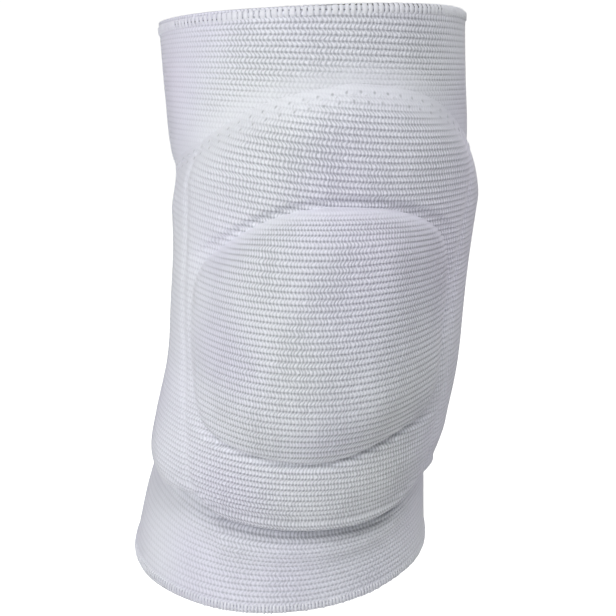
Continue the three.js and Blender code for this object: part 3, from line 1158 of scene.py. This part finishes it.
def stitch_group():
    """The single stitches of the knit: zigzag threads along each rib, with the gaps between
    painted dark as shade.
    """
    inputs = [
        ("Yarn", "Color", (0.8, 0.8, 0.85, 1)),
        ("Gaps", "Color", (0.4, 0.4, 0.5, 1)),
        ("Gap Strength", "Float", 0.6),
        ("Zigzag", "Float", 0.35),
        ("Leg Lean", "Float", 0.6),
        ("Flat Shade", "Float", 0.2),
        ("Parting", "Float", 0.65),
    ]
    outputs = [("Color", "Color", None), ("Height", "Float", None)]
    make, given = shader_group("Knit stitches", inputs, outputs)
    knit = make.node("ShaderNodeAttribute", attribute_name="knit").outputs["Vector"]
    relief = make.node("ShaderNodeAttribute", attribute_name="relief").outputs["Fac"]
    parts = make.node("ShaderNodeSeparateXYZ", {"Vector": knit}).outputs
    wale, rib, inside = parts["X"], parts["Y"], parts["Z"]
    parity = make.scaled(make.math("MODULO", make.math("FLOOR", rib), 2), 0.5)
    wobble = make.noise(knit, WOBBLE_SCALE)
    place = make.math("ADD", make.math("ADD", wale, parity), wobble)
    swing = make.math("SUBTRACT", make.scaled(make.math("PINGPONG", place, 0.5), 2), 0.5)
    centre = make.math("ADD", 0.5, make.math("MULTIPLY", swing, given["Zigzag"]))
    across = make.math("FRACT", rib)
    off_centre = make.math("ABSOLUTE", make.math("SUBTRACT", across, centre))
    hole = make.ramp(off_centre, *THREAD_EDGE)
    side = make.math("SUBTRACT", make.scaled(parity, 4), 1)
    lean = make.math("MULTIPLY", make.math("SUBTRACT", across, 0.5), given["Leg Lean"])
    leg = make.math("ADD", place, make.math("MULTIPLY", lean, side))
    parting = make.ramp(make.math("PINGPONG", leg, 0.5), *STITCH_EDGE)
    clearer = make.ramp(make.noise(knit, PATCH_SCALE), *PATCH_RANGE, *PATCH_CLARITY, "LINEAR")
    parting = make.math("MULTIPLY", parting, make.math("MULTIPLY", clearer, given["Parting"]))
    hole = make.math("MAXIMUM", hole, parting)
    # Painted shade: holes and partings darken towards the gaps' colour, and knit drawn flat takes
    # an even share of that painted shade.
    open_knit = make.math("MAXIMUM", relief, inside)
    shown = make.math("MULTIPLY", open_knit, given["Gap Strength"])
    flat = make.math("MULTIPLY", make.math("SUBTRACT", 1, open_knit), given["Flat Shade"])
    mask = make.math("ADD", make.math("MULTIPLY", hole, shown), flat, clamp=True)
    thread = make.math("SUBTRACT", 1, hole)
    height = make.math("MULTIPLY", thread, open_knit)
    return end_group(make, Color=make.mix(mask, given["Yarn"], given["Gaps"]), Height=height)


def needle_hole_group():
    """The needle holes at the corners of a zigzag row, from the coordinates of that row: the mask
    of their painted shade.
    """
    inputs = [
        ("Half Zigzag", "Float", 2.6),
        ("Half Height", "Float", 1.6),
        ("Hole Radius", "Float", 0.8),
    ]
    make, given = shader_group("Needle holes", inputs, [("Mask", "Float", None)])
    quilt = make.node("ShaderNodeAttribute", attribute_name="quilt").outputs["Vector"]
    parts = make.node("ShaderNodeSeparateXYZ", {"Vector": quilt}).outputs
    masks = []
    for along, up in ((-0.5, -1), (0.5, 1)):
        beat = make.math("PINGPONG", make.math("ADD", parts["X"], along), 1)
        beside = make.math("MULTIPLY", beat, given["Half Zigzag"])
        across = make.math("MULTIPLY", make.math("ADD", parts["Y"], up), given["Half Height"])
        place = make.node("ShaderNodeCombineXYZ", {"X": beside, "Y": across})
        away = make.node("ShaderNodeVectorMath", {0: place.outputs[0]}, operation="LENGTH")
        masks.append(make.ramp(away.outputs["Value"], 0.0, given["Hole Radius"], 1.0, 0.0))
    return end_group(make, Mask=make.math("MAXIMUM", *masks))


def fibre_group():
    """Fine fibres, with a faint drift of shade and tint, in object coordinates."""
    inputs = [
        ("Color", "Color", (0.8, 0.8, 0.85, 1)),
        ("Unevenness", "Float", 0.05),
        ("Fibre Scale", "Float", 2400.0),
        ("Tint Drift", "Float", 0.2),
    ]
    outputs = [("Color", "Color", None), ("Roughness", "Float", None), ("Height", "Float", None)]
    make, given = shader_group("Yarn fibres", inputs, outputs)
    place = make.node("ShaderNodeTexCoord").outputs["Object"]
    fine = make.noise(place, given["Fibre Scale"], 2.0)
    around = make.math("SUBTRACT", make.noise(place, SHADE_SCALE, 3.0), 0.5)
    fleck = make.math("SUBTRACT", fine, 0.5)
    both = make.math("ADD", around, make.scaled(fleck, FLECK_SHARE))
    drift = make.math("SUBTRACT", make.noise(place, TINT_SCALE), 0.5)
    shade = make.node(
        "ShaderNodeHueSaturation",
        {
            "Color": given["Color"],
            "Value": make.scaled(both, given["Unevenness"], 1),
            "Hue": make.scaled(drift, given["Tint Drift"], TINT_MIDDLE),
            "Saturation": make.scaled(drift, TINT_DEPTH, 1),
        },
    )
    rough = make.math("ADD", YARN_ROUGHNESS, make.scaled(fleck, FLECK_ROUGHNESS), clamp=True)
    return end_group(make, Color=shade.outputs["Color"], Roughness=rough, Height=fine)


def shader_call(make, name, build, values):
    """A node that calls a shader group."""
    group = built_once(bpy.data.node_groups, name, build)
    return make.node("ShaderNodeGroup", values, node_tree=group).outputs


def bumped(make, height, distance, strength, normal=None):
    values = {"Height": height, "Distance": distance, "Strength": strength, "Normal": normal}
    return make.node("ShaderNodeBump", values).outputs[0]


def new_cloth(name, sheen):
    """A material for cloth: it, its tree's maker and its shader, which holds the constants."""
    material = bpy.data.materials.new(name)
    material.use_nodes = True
    shader = material.node_tree.nodes["Principled BSDF"]
    shader.inputs["Sheen Weight"].default_value = sheen
    shader.inputs["Sheen Roughness"].default_value = 0.45
    shader.inputs["Specular IOR Level"].default_value = 0.25
    return material, TreeMaker(material.node_tree), shader


def dress_shader(make, shader, fibres, normal):
    make.put(shader.inputs["Base Color"], fibres["Color"])
    make.put(shader.inputs["Roughness"], fibres["Roughness"])
    make.put(shader.inputs["Normal"], normal)


def knit_material(name="Ribbed knit", sewn=False):
    if name in bpy.data.materials:
        return bpy.data.materials[name]
    look, sizes = looks(), shield_sizes()
    material, make, shader = new_cloth(name, 0.25)
    # The gaps between the stitches are painted shade.
    values = {
        "Yarn": (*look.yarn, 1),
        "Gaps": (*look.gaps, 1),
        "Gap Strength": 0.85,
        "Zigzag": 0.28,
    }
    stitches = shader_call(make, "Knit stitches", stitch_group, values)
    yarn, height = stitches["Color"], stitches["Height"]
    if sewn:
        halves = {
            "Half Zigzag": MILLIMETRES / 2 * sizes.quilt_pitch,
            "Half Height": MILLIMETRES / 2 * sizes.quilt_width,
            "Hole Radius": 0.8,
        }
        holes = shader_call(make, "Needle holes", needle_hole_group, halves)
        # The needle holes are painted shade, darker than the gaps' colour, and they also sink the
        # bump.
        mask = make.scaled(holes["Mask"], HOLE_STRENGTH)
        yarn = make.mix(mask, yarn, (*(HOLE_SHADE * c for c in look.gaps), 1))
        height = make.math("SUBTRACT", height, make.scaled(mask, HOLE_DEPTH))
    values = {"Color": yarn, "Unevenness": 0.07}
    fibres = shader_call(make, "Yarn fibres", fibre_group, values)
    bump = bumped(make, height, knit_sizes().stitch_depth, 1.0)
    fuzz = bumped(make, fibres["Height"], KNIT_FUZZ, 0.5, bump)
    dress_shader(make, shader, fibres, fuzz)
    return material


def thread_material(name="Sewing thread", shade=1.0):
    if name in bpy.data.materials:
        return bpy.data.materials[name]
    material, make, shader = new_cloth(name, 0.15)
    # A shade below 1 paints shade into the thread's colour, as on the hems' cores.
    values = {"Color": (*(shade * c for c in looks().thread), 1), "Unevenness": 0.1}
    fibres = shader_call(make, "Yarn fibres", fibre_group, values)
    dress_shader(make, shader, fibres, bumped(make, fibres["Height"], THREAD_FUZZ, 0.6))
    return material


def rib_rows(low, high):
    """Rib counts from low to high on the rows of the ribs, with the two ends themselves."""
    per_rib = knit_sizes().rib_rows
    first, last = math.ceil(low * per_rib + ROW_MARGIN), math.floor(high * per_rib - ROW_MARGIN)
    return np.concatenate([[low], np.arange(first, last + 1) / per_rib, [high]])


class KNEEPAD_OT_sleeve(bpy.types.Operator):
    """Knit the tube that holds the pads round the leg"""

    bl_idname = "kneepad.sleeve"
    bl_label = "Sleeve"

    columns: IntProperty(name="Columns", description="Faces round the leg", default=176)
    inner_rows: IntProperty(name="Inner rows", description="Faces up its inside", default=64)

    def execute(self, context):
        sizes = sleeve_sizes()
        low = HEM_OVERLAP * sizes.bottom_hem_height
        high = sleeve_height() - HEM_OVERLAP * sizes.top_hem_height
        outer = rib_rows(rib_count(SLEEVE_RIBS, low, 90), rib_count(SLEEVE_RIBS, high, 90))
        inner = np.linspace(outer[-1], outer[0], self.inner_rows)
        counts = np.concatenate([outer, inner])[:, None]
        inside = np.concatenate([np.zeros(len(outer)), np.ones(len(inner))])[:, None]
        turns = np.linspace(-180, 180, self.columns + 1)[None, :]
        heights = height_of_rib(SLEEVE_RIBS, counts, turns)
        lifts = tube_lift(heights, turns) - sizes.wall * inside
        points = skin_points(heights, turns, lifts)
        knit = knit_vectors(counts, turns, inside, knit_sizes().sleeve_wale)
        own = leg_to_pad(heights, turns)
        above = heights - shield_top(own)
        beside = smooth((shield_sizes().wrap - np.abs(own)) / ARCH_SIDE_FADE)
        near_arch = np.exp(-((above / ARCH_BAND) ** 2)) * beside
        at_cuff = smooth((at_block("lip") - heights) / CUFF_FADE)
        relief = (1 - inside) * (1 - ARCH_FLATTENING * near_arch) * knit_relief(turns)
        relief = relief * (1 - (1 - knit_sizes().cuff_relief) * at_cuff)
        relief[0] = relief[len(outer) - 1] = 0
        faces = quads(len(counts), self.columns + 1, True, False)
        made = make_object("sleeve_tube", points, faces, knit, relief)
        clean_mesh(made)
        raise_ribs(made, knit_material())
        finish_piece(made, ["sleeve"])
        return {"FINISHED"}


def ring_path(name, height, lift, columns=240):
    """A closed path round the leg, with the way out of it and the way up it at each point."""
    turns = np.linspace(0, 360, columns, endpoint=False)
    points = skin_points(height, turns, lift)
    above = skin_points(height + NUDGE, turns, lift)
    outside = skin_points(height, turns, lift + NUDGE)
    edges = np.stack([np.arange(columns), (np.arange(columns) + 1) % columns], axis=-1)
    made = path_object(name, points, edges, outside - points, above - points)
    beside = smooth(np.sin(np.radians(turns)) ** 2 / SPREAD_REACH)
    add_attribute(made.data, "spread", "FLOAT", 1 + SIDE_SPREAD * beside)
    return made


def path_object(name, points, edges, outwards, upwards):
    mesh = bpy.data.meshes.new(name)
    mesh.from_pydata(points.tolist(), edges.tolist(), [])
    for title, vectors in (("outwards", outwards), ("upwards", upwards)):
        unit = vectors / np.linalg.norm(vectors, axis=-1, keepdims=True)
        add_attribute(mesh, title, "FLOAT_VECTOR", unit)
    made = bpy.data.objects.new(name, mesh)
    bpy.context.scene.collection.objects.link(made)
    return made


def make_hem(name, node, low, high, thickness, core, columns=220, corners=14):
    """The folded knit at a rim: a ring whose section is a rounded oblong."""
    angles = np.linspace(2 * np.pi, 0, corners, endpoint=False)[:, None]
    blunt_sin = blunt(np.sin(angles), HEM_BLUNTNESS)
    blunt_cos = blunt(np.cos(angles), HEM_BLUNTNESS)
    turns = np.linspace(0, 360, columns, endpoint=False)[None, :]
    heights = (low + high) / 2 + (high - low) / 2 * blunt_sin
    lifts = -sleeve_sizes().wall / 2 + thickness / 2 * blunt_cos
    points = skin_points(heights + 0 * turns, turns, lifts)
    made = make_object(name, points, quads(corners, columns, True, True))
    clean_mesh(made)
    # The fold's material is painted shade, dark where shadow falls between the threads over it.
    made.data.materials.append(core)
    finish_piece(made, [node])
    return made


def make_overlock(name, low, high, thickness, pitch, width, raggedness):
    """The threads wrapped round a rim."""
    thread = thread_sizes().thread
    made = ring_path(name, (low + high) / 2, -sleeve_sizes().wall / 2)
    values = {
        "Pitch": pitch,
        "Loop Height": high - low - THREAD_SINK * thread,
        "Loop Depth": thickness - THREAD_SINK * thread,
        "Thread": thread,
        "Thread Width": width,
        "Raggedness": raggedness,
        "Material": thread_material(),
    }
    apply_tree(made, "Overlock loops", overlock_tree, values)
    finish_piece(made)
    return made


class KNEEPAD_OT_hems(bpy.types.Operator):
    """Fold both rims and sew them over with thread"""

    bl_idname = "kneepad.hems"
    bl_label = "Hems"

    def execute(self, context):
        sizes, threads = sleeve_sizes(), thread_sizes()
        inset = CORE_INSET * threads.thread
        low_rims = {"top": sleeve_height() - sizes.top_hem_height, "bottom": 0}
        for rim, low in low_rims.items():
            high = low + getattr(sizes, rim + "_hem_height")
            thick = getattr(sizes, rim + "_hem_thickness")
            # The core is painted shade, darker where shadow falls between the threads.
            core = thread_material(rim.capitalize() + " core", getattr(looks(), rim + "_core"))
            ends = (low + inset, high - inset, thick - 2 * inset)
            make_hem(rim + "_hem_fold", rim + "_hem", *ends, core)
            high += threads.bottom_reach if rim == "bottom" else 0
            sewing = [getattr(threads, rim + part) for part in ("_pitch", "_width", "_raggedness")]
            make_overlock(rim + "_overlock", low, high, thick, *sewing)
        cut = (sizes.cut_width, sleeve_height())
        return {"FINISHED"}


def blown_up(name, front, back, held):
    """How far the points of a cover move when it is sewn down where held is 1 and filled."""
    scene, sizes = bpy.context.scene, padding_sizes()
    rows, columns = front.shape[:2]
    points = np.concatenate([front, back[-2:0:-1]])
    made = make_object(name, points, quads(len(points), columns, True, False))
    middle = made.data.polygons[(rows // 2) * (columns - 1) + columns // 2]
    outwards = front[rows // 2, columns // 2] - back[rows // 2, columns // 2]
    if middle.normal.dot(Vector(outwards)) < 0:
        made.data.flip_normals()
    group = made.vertex_groups.new(name="sewn")
    for index, weight in enumerate(np.ravel(held)):
        group.add([index], float(weight), "REPLACE")
    group.add(list(range(held.size, points.size // 3)), 1.0, "REPLACE")
    cloth = made.modifiers.new("Filling", "CLOTH")
    cloth.settings.quality = sizes.quality
    cloth.settings.use_pressure = True
    cloth.settings.uniform_pressure_force = sizes.pressure
    cloth.settings.vertex_group_mass = group.name
    cloth.settings.effector_weights.gravity = 0
    cloth.collision_settings.use_collision = False
    cloth.point_cache.frame_end = sizes.frames
    for frame in range(1, sizes.frames + 1):
        scene.frame_set(frame)
    graph = bpy.context.evaluated_depsgraph_get()
    shown = made.evaluated_get(graph).data
    after = np.zeros(points.size, np.float32)
    shown.vertices.foreach_get("co", after)
    moved = after.reshape(points.shape)[:rows] - front
    mesh = made.data
    bpy.data.objects.remove(made)
    bpy.data.meshes.remove(mesh)
    scene.frame_set(1)
    far = np.linalg.norm(moved, axis=-1, keepdims=True)
    if not np.isfinite(far).all():
        raise RuntimeError(f"the filling of {name} did not settle")
    return moved * np.minimum(1, sizes.swell / np.maximum(far, TINY))


def between(grid, rows, columns):
    """Values of a grid at places between its points, given as shares of its two sides."""
    r, c = rows * (grid.shape[0] - 1), columns * (grid.shape[1] - 1)
    i = np.clip(r.astype(int), 0, grid.shape[0] - 2)
    j = np.clip(c.astype(int), 0, grid.shape[1] - 2)
    u, v = smooth(r - i)[..., None], smooth(c - j)[..., None]
    low = grid[i, j] * (1 - v) + grid[i, j + 1] * v
    high = grid[i + 1, j] * (1 - v) + grid[i + 1, j + 1] * v
    return low * (1 - u) + high * u


def edge_strip(levels, front_rows, column, columns):
    """Triangles that close a side edge, between the front rows and the rows behind them."""
    front = list(range(front_rows))
    behind = [0, *range(len(levels) - 1, front_rows - 1, -1), front_rows - 1]
    faces = []
    while len(front) > 1 or len(behind) > 1:
        on_front = len(behind) == 1 or len(front) > 1 and levels[front[1]] <= levels[behind[1]]
        side = front if on_front else behind
        corners = {front[0], behind[0], side[1]}
        if len(corners) == 3:
            rows = (front[0], side[1], behind[0])
            faces.append([row * columns + column for row in rows])
        side.pop(0)
    return faces


def filling(name, form, held_at):
    """Fills a coarse cover of the pad. Gives how far the points of its front move, on a grid."""
    sizes = padding_sizes()
    table, turns, edges, sides = form
    turns = np.linspace(turns[0], turns[-1], sizes.columns)
    lows, highs = (rib_count(table, edge(turns), turns) for edge in edges)
    parts = np.linspace(0, 1, sizes.rows)[:, None]
    around = turns[None, :] + 0 * parts
    cloth = height_of_rib(table, lows + (highs - lows) * parts, around)
    covers = []
    for side in sides:
        height, lift = side(cloth, around)
        covers.append(pad_points(height, around, lift))
    held = np.clip(held_at(cloth, around), 0, 1)
    held[[0, -1]] = held[:, [0, -1]] = 1
    return blown_up(name + "_cloth", *covers, held)


def make_pad(name, form, wale, back_rows, relief_at, held_at, material):
    """A closed pad. Its form is its table of ribs, its turns, what gives the height of its lower
    and upper edge at each turn, and what gives height and lift of its front and back from a
    height and a turn. relief_at gives how far its ribs stand out, held_at where it is sewn."""
    table, turns, edges, (front, back) = form
    lows, highs = (rib_count(table, edge(turns), turns) for edge in edges)
    per_rib = knit_sizes().rib_rows
    rows = np.arange(math.floor(lows.min() * per_rib), math.ceil(highs.max() * per_rib) + 1)
    counts = rows[:, None] / per_rib + 0 * turns[None, :]
    counts = np.where(counts < lows + ROW_MERGE / per_rib, lows, counts)
    counts = np.where(counts > highs - ROW_MERGE / per_rib, highs, counts)
    parts = np.linspace(0, 1, back_rows)[1:-1, None]
    behind = highs + (lows - highs) * parts
    around = turns[None, :] + 0 * counts
    height, lift = front(height_of_rib(table, counts, around), around)
    points = pad_points(height, around, lift)
    moved = filling(name, form, held_at)
    upwards = (counts - lows) / (highs - lows)
    sideways = (around - turns[0]) / (turns[-1] - turns[0])
    points = points + between(moved, upwards, sideways)
    relief = relief_at(height_of_rib(table, counts, around), around)
    relief = relief * knit_relief(pad_to_leg(height, around))
    knit = knit_vectors(counts, pad_to_leg(height, around), 0 * counts, wale)
    quilt = quilt_vectors(height, around)
    around = turns[None, :] + 0 * behind
    height, lift = back(height_of_rib(table, behind, around), around)
    points = np.concatenate([points, pad_points(height, around, lift)])
    inside = knit_vectors(behind, pad_to_leg(height, around), 1 + 0 * behind, wale)
    knit = np.concatenate([knit, inside])
    quilt = np.concatenate([quilt, np.full((*behind.shape, 3), float(OFF_THE_ROW))])
    relief = np.concatenate([relief, 0 * behind])
    count = points.shape[0]
    faces = quads(count, len(turns), True, False).tolist()
    levels = np.concatenate([counts, behind])
    for column in (0, len(turns) - 1):
        faces += edge_strip(levels[:, column], len(counts), column, len(turns))
    made = make_object(name, points, faces, knit, relief, quilt)
    clean_mesh(made)
    raise_ribs(made, material)
    return made


class KNEEPAD_OT_shield(bpy.types.Operator):
    """Make the foam shield round the front, in its knit"""

    bl_idname = "kneepad.shield"
    bl_label = "Shield"

    columns: IntProperty(name="Columns", description="Faces from side to side", default=190)
    back_rows: IntProperty(name="Back rows", description="Faces up its back", default=24)

    def execute(self, context):
        wrap = shield_sizes().wrap
        turns = np.linspace(-wrap, wrap, self.columns)

        def back(cloth, turn):
            height, lift = shield_surface(cloth, turn)
            inner = np.minimum(sleeve_sizes().gap, lift - THINNEST_PAD)
            return np.maximum(height, shield_bottom(turn) - BACK_DROP), inner

        def relief_at(cloth, turn):
            height, _ = shield_surface(cloth, turn)
            sides = smooth((np.abs(turn) - ARCH_MIDDLE_TURN) / ARCH_SIDE_TURN)
            wide = ARCH_RELIEF_FADE + ARCH_RELIEF_GROWTH * sides
            band = smooth((shield_top(turn) - height - ARCH_BARE) / wide)
            seam = 1 - SEAM_FLATTENING * seam_nearness(height, turn, shield_sizes().seam_width)
            tucked = smooth((cloth - shield_cloth_bottom(turn)) / TUCK_RELIEF_FADE)
            return (EDGE_RELIEF + (1 - EDGE_RELIEF) * band) * seam * tucked

        def held_at(cloth, turn):
            height, _ = shield_surface(cloth, turn)
            sewn = seam_nearness(height, turn, shield_sizes().seam_width)
            sewn = sewn + quilt_channel(height, turn) + (cup_channel(height, turn) > 0.5)
            return sewn + (cloth < shield_bottom(turn) + LIP_HELD)

        made = make_pad(
            "shield_cover",
            (SHIELD_RIBS, turns, (shield_cloth_bottom, shield_top), (shield_surface, back)),
            knit_sizes().shield_wale,
            self.back_rows,
            relief_at,
            held_at,
            knit_material("Quilted knit", sewn=True),
        )
        finish_piece(made, ["shield_pad"])
        return {"FINISHED"}


class KNEEPAD_OT_cup(bpy.types.Operator):
    """Make the raised cup over the kneecap"""

    bl_idname = "kneepad.cup"
    bl_label = "Knee cup"

    columns: IntProperty(name="Columns", description="Faces from side to side", default=150)
    back_rows: IntProperty(name="Back rows", description="Faces up its back", default=16)

    def execute(self, context):
        turns = np.linspace(-cup_turn(), cup_turn(), self.columns)

        def front(height, turn):
            drawn = height + cup_sizes().rib_draw * cup_share(height, turn)
            return drawn, cup_lift(drawn, turn)

        def back(height, turn):
            _, lift = front(height, turn)
            return height, np.minimum(shield_lift(height, turn) - CUP_SINK, lift - THINNEST_PAD)

        def relief_at(height, turn):
            top = smooth((cup_top(turn) - height - CUP_BARE) / CUP_TOP_FADE)
            bottom = smooth((height - cup_bottom(turn)) / CUP_BOTTOM_FADE)
            side = smooth((cup_turn() - np.abs(turn)) / CUP_SIDE_FADE)
            return (EDGE_RELIEF + (1 - EDGE_RELIEF) * top) * bottom * side

        def held_at(height, turn):
            return 0 * height

        made = make_pad(
            "knee_cup_cover",
            (CUP_RIBS, turns, (cup_bottom, cup_top), (front, back)),
            knit_sizes().cup_wale,
            self.back_rows,
            relief_at,
            held_at,
            knit_material(),
        )
        finish_piece(made, ["knee_cup"])
        return {"FINISHED"}


def pad_path(name, heights, turns, lifts):
    """An open path on the pads, with the way out of them at each point."""
    points = pad_points(heights, turns, lifts)
    outside = pad_points(heights, turns, lifts + NUDGE)
    above = pad_points(heights + NUDGE, turns, lifts)
    count = len(points)
    edges = np.stack([np.arange(count - 1), np.arange(1, count)], axis=-1)
    return path_object(name, points, edges, outside - points, above - points)


def sew(made, pitch, stitch, thread, lean):
    """Lays stitches along a path at a pitch, rounded so that they fill it."""
    points = np.array([v.co for v in made.data.vertices])
    total = np.linalg.norm(np.diff(points, axis=0), axis=-1).sum()
    values = {
        "Stitches": round(total / pitch),
        "Stitch Length": stitch,
        "Thread": thread,
        "Lean": lean,
        "Material": thread_material(),
    }
    apply_tree(made, "Stitches along a path", stitch_tree, values)
    finish_piece(made)


class KNEEPAD_OT_seams(bpy.types.Operator):
    """Sew the shield down along its sides and under its arched edge"""

    bl_idname = "kneepad.seams"
    bl_label = "Seams"

    def execute(self, context):
        sizes, threads = shield_sizes(), thread_sizes()
        for name, side in (("left_seam", -1), ("right_seam", 1)):
            ends = np.array([at_block("lip"), at_block("brow", 1.0)])
            low, high = side * seam_line(ends, side < 0)
            low = shield_bottom(np.array([low]))[0] + 0.5 * sizes.lip_roll
            high = quilt_line(np.array([high]))[0]
            cloth = np.linspace(low, high, SEAM_POINTS)
            turns = side * seam_line(cloth, side < 0)
            heights, lifts = shield_surface(cloth, turns)
            made = pad_path(name, heights, turns, lifts - SEAM_SINK)
            sew(made, threads.seam_pitch, threads.seam_stitch, threads.seam_thread, 0.0)
        turns, _ = quilt_path()
        heights = quilt_line(turns)
        lifts = shield_lift(heights, turns) - ROW_SINK
        made = pad_path("arch_zigzag", heights, turns, lifts)
        half = sizes.quilt_pitch / 2
        stitch = math.hypot(half, sizes.quilt_width)
        lean = math.atan2(sizes.quilt_width, half)
        sew(made, half, stitch, ROW_THREAD * threads.seam_thread, lean)
        return {"FINISHED"}


def add_lamp(name, azimuth, rise, power):
    """A round soft lamp that shines on the pad. Azimuth 0 is in front, 90 on its +X side."""
    light = bpy.data.lights.new(name, "AREA")
    light.shape = "DISK"
    light.size = looks().lamp_size
    light.energy = power
    made = bpy.data.objects.new(name, light)
    azimuth, rise = math.radians(azimuth), math.radians(rise)
    level = math.cos(rise)
    place = Vector((level * math.sin(azimuth), -level * math.cos(azimuth), math.sin(rise)))
    made.location = looks().lamp_distance * place
    made.rotation_euler = (-place).to_track_quat("-Z", "Y").to_euler()
    bpy.context.scene.collection.objects.link(made)


def floor_material():
    """A pale floor that the camera sees as pure white."""
    material = bpy.data.materials.new("Pale floor")
    material.use_nodes = True
    shader = material.node_tree.nodes["Principled BSDF"]
    shader.inputs["Roughness"].default_value = 0.9
    shader.inputs["Emission Color"].default_value = (1, 1, 1, 1)
    make = TreeMaker(material.node_tree)
    place = make.node("ShaderNodeTexCoord").outputs["Object"]
    tones = [(*(shade * c for c in looks().floor), 1) for shade in (1, FLOOR_SHADE)]
    make.put(shader.inputs["Base Color"], make.mix(make.noise(place, 6.0, 2.0), *tones))
    seen = make.node("ShaderNodeLightPath").outputs["Is Camera Ray"]
    make.put(shader.inputs["Emission Strength"], seen)
    return material


class KNEEPAD_OT_stage(bpy.types.Operator):
    """Set up the floor, the lights and the camera"""

    bl_idname = "kneepad.stage"
    bl_label = "Stage"

    def execute(self, context):
        scene, look = context.scene, looks()
        floor_level = CAD_BOX[0][2] - look.floor_drop
        angles = np.linspace(0, 2 * np.pi, FLOOR_CORNERS, endpoint=False)
        across, ahead = FLOOR_RADIUS * np.cos(angles), FLOOR_RADIUS * np.sin(angles)
        rim = np.stack([across, ahead, 0 * angles + floor_level], axis=-1)
        floor = make_object("floor", rim, [list(range(len(rim)))])
        floor.data.materials.append(floor_material())

        world = bpy.data.worlds.new("Soft studio")
        world.use_nodes = True
        background = world.node_tree.nodes["Background"]
        background.inputs["Color"].default_value = (1, 1, 1, 1)
        make = TreeMaker(world.node_tree)
        seen = make.node("ShaderNodeLightPath").outputs["Is Camera Ray"]
        make.put(background.inputs["Strength"], make.math("MAXIMUM", seen, look.soft_light))
        scene.world = world
        for name, azimuth, rise in LAMPS:
            add_lamp(name, azimuth, rise, getattr(look, name))

        camera = bpy.data.objects.new("camera", bpy.data.cameras.new("camera"))
        rise = math.radians(look.camera_rise)
        target = Vector(CAMERA_TARGET)
        away = Vector((0, -math.cos(rise), math.sin(rise)))
        camera.location = target + look.camera_distance * away
        camera.rotation_euler = (-away).to_track_quat("-Z", "Y").to_euler()
        camera.data.lens = look.camera_lens
        camera.data.sensor_width = 36
        camera.data.clip_start = 0.01
        scene.collection.objects.link(camera)
        scene.camera = camera
        scene.view_settings.view_transform = "Standard"
        return {"FINISHED"}


class KNEEPAD_PT_panel(bpy.types.Panel):
    bl_idname = "KNEEPAD_PT_panel"
    bl_label = "Volleyball knee pad"
    bl_space_type = "VIEW_3D"
    bl_region_type = "UI"
    bl_category = "Knee pad"

    def draw(self, context):
        for operator in OPERATORS:
            self.layout.operator(operator.bl_idname)
        for title in SIZE_GROUPS:
            group = getattr(context.scene, title)
            box = self.layout.box()
            box.label(text=title.rsplit("_", 1)[-1].capitalize())
            for name in group.__annotations__:
                box.prop(group, name, text=name.replace("_", " ").capitalize())


SIZE_GROUPS = {
    "knee_pad_sleeve": SleeveSizes,
    "knee_pad_shield": ShieldSizes,
    "knee_pad_cup": CupSizes,
    "knee_pad_padding": PaddingSizes,
    "knee_pad_knit": KnitSizes,
    "knee_pad_threads": ThreadSizes,
    "knee_pad_looks": Looks,
}
OPERATORS = (
    KNEEPAD_OT_stage,
    KNEEPAD_OT_sleeve,
    KNEEPAD_OT_hems,
    KNEEPAD_OT_shield,
    KNEEPAD_OT_cup,
    KNEEPAD_OT_seams,
)
CLASSES = (*SIZE_GROUPS.values(), *OPERATORS, KNEEPAD_PT_panel)


def register():
    for cls in CLASSES:
        bpy.utils.register_class(cls)
    for title, group in SIZE_GROUPS.items():
        setattr(bpy.types.Scene, title, PointerProperty(type=group))


def unregister():
    for title in SIZE_GROUPS:
        delattr(bpy.types.Scene, title)
    for cls in reversed(CLASSES):
        bpy.utils.unregister_class(cls)


def main():
    register()
    bpy.ops.kneepad.stage()
    bpy.ops.kneepad.sleeve()
    bpy.ops.kneepad.hems()
    bpy.ops.kneepad.shield()
    bpy.ops.kneepad.cup()
    bpy.ops.kneepad.seams()


if __name__ == "__main__":
    main()
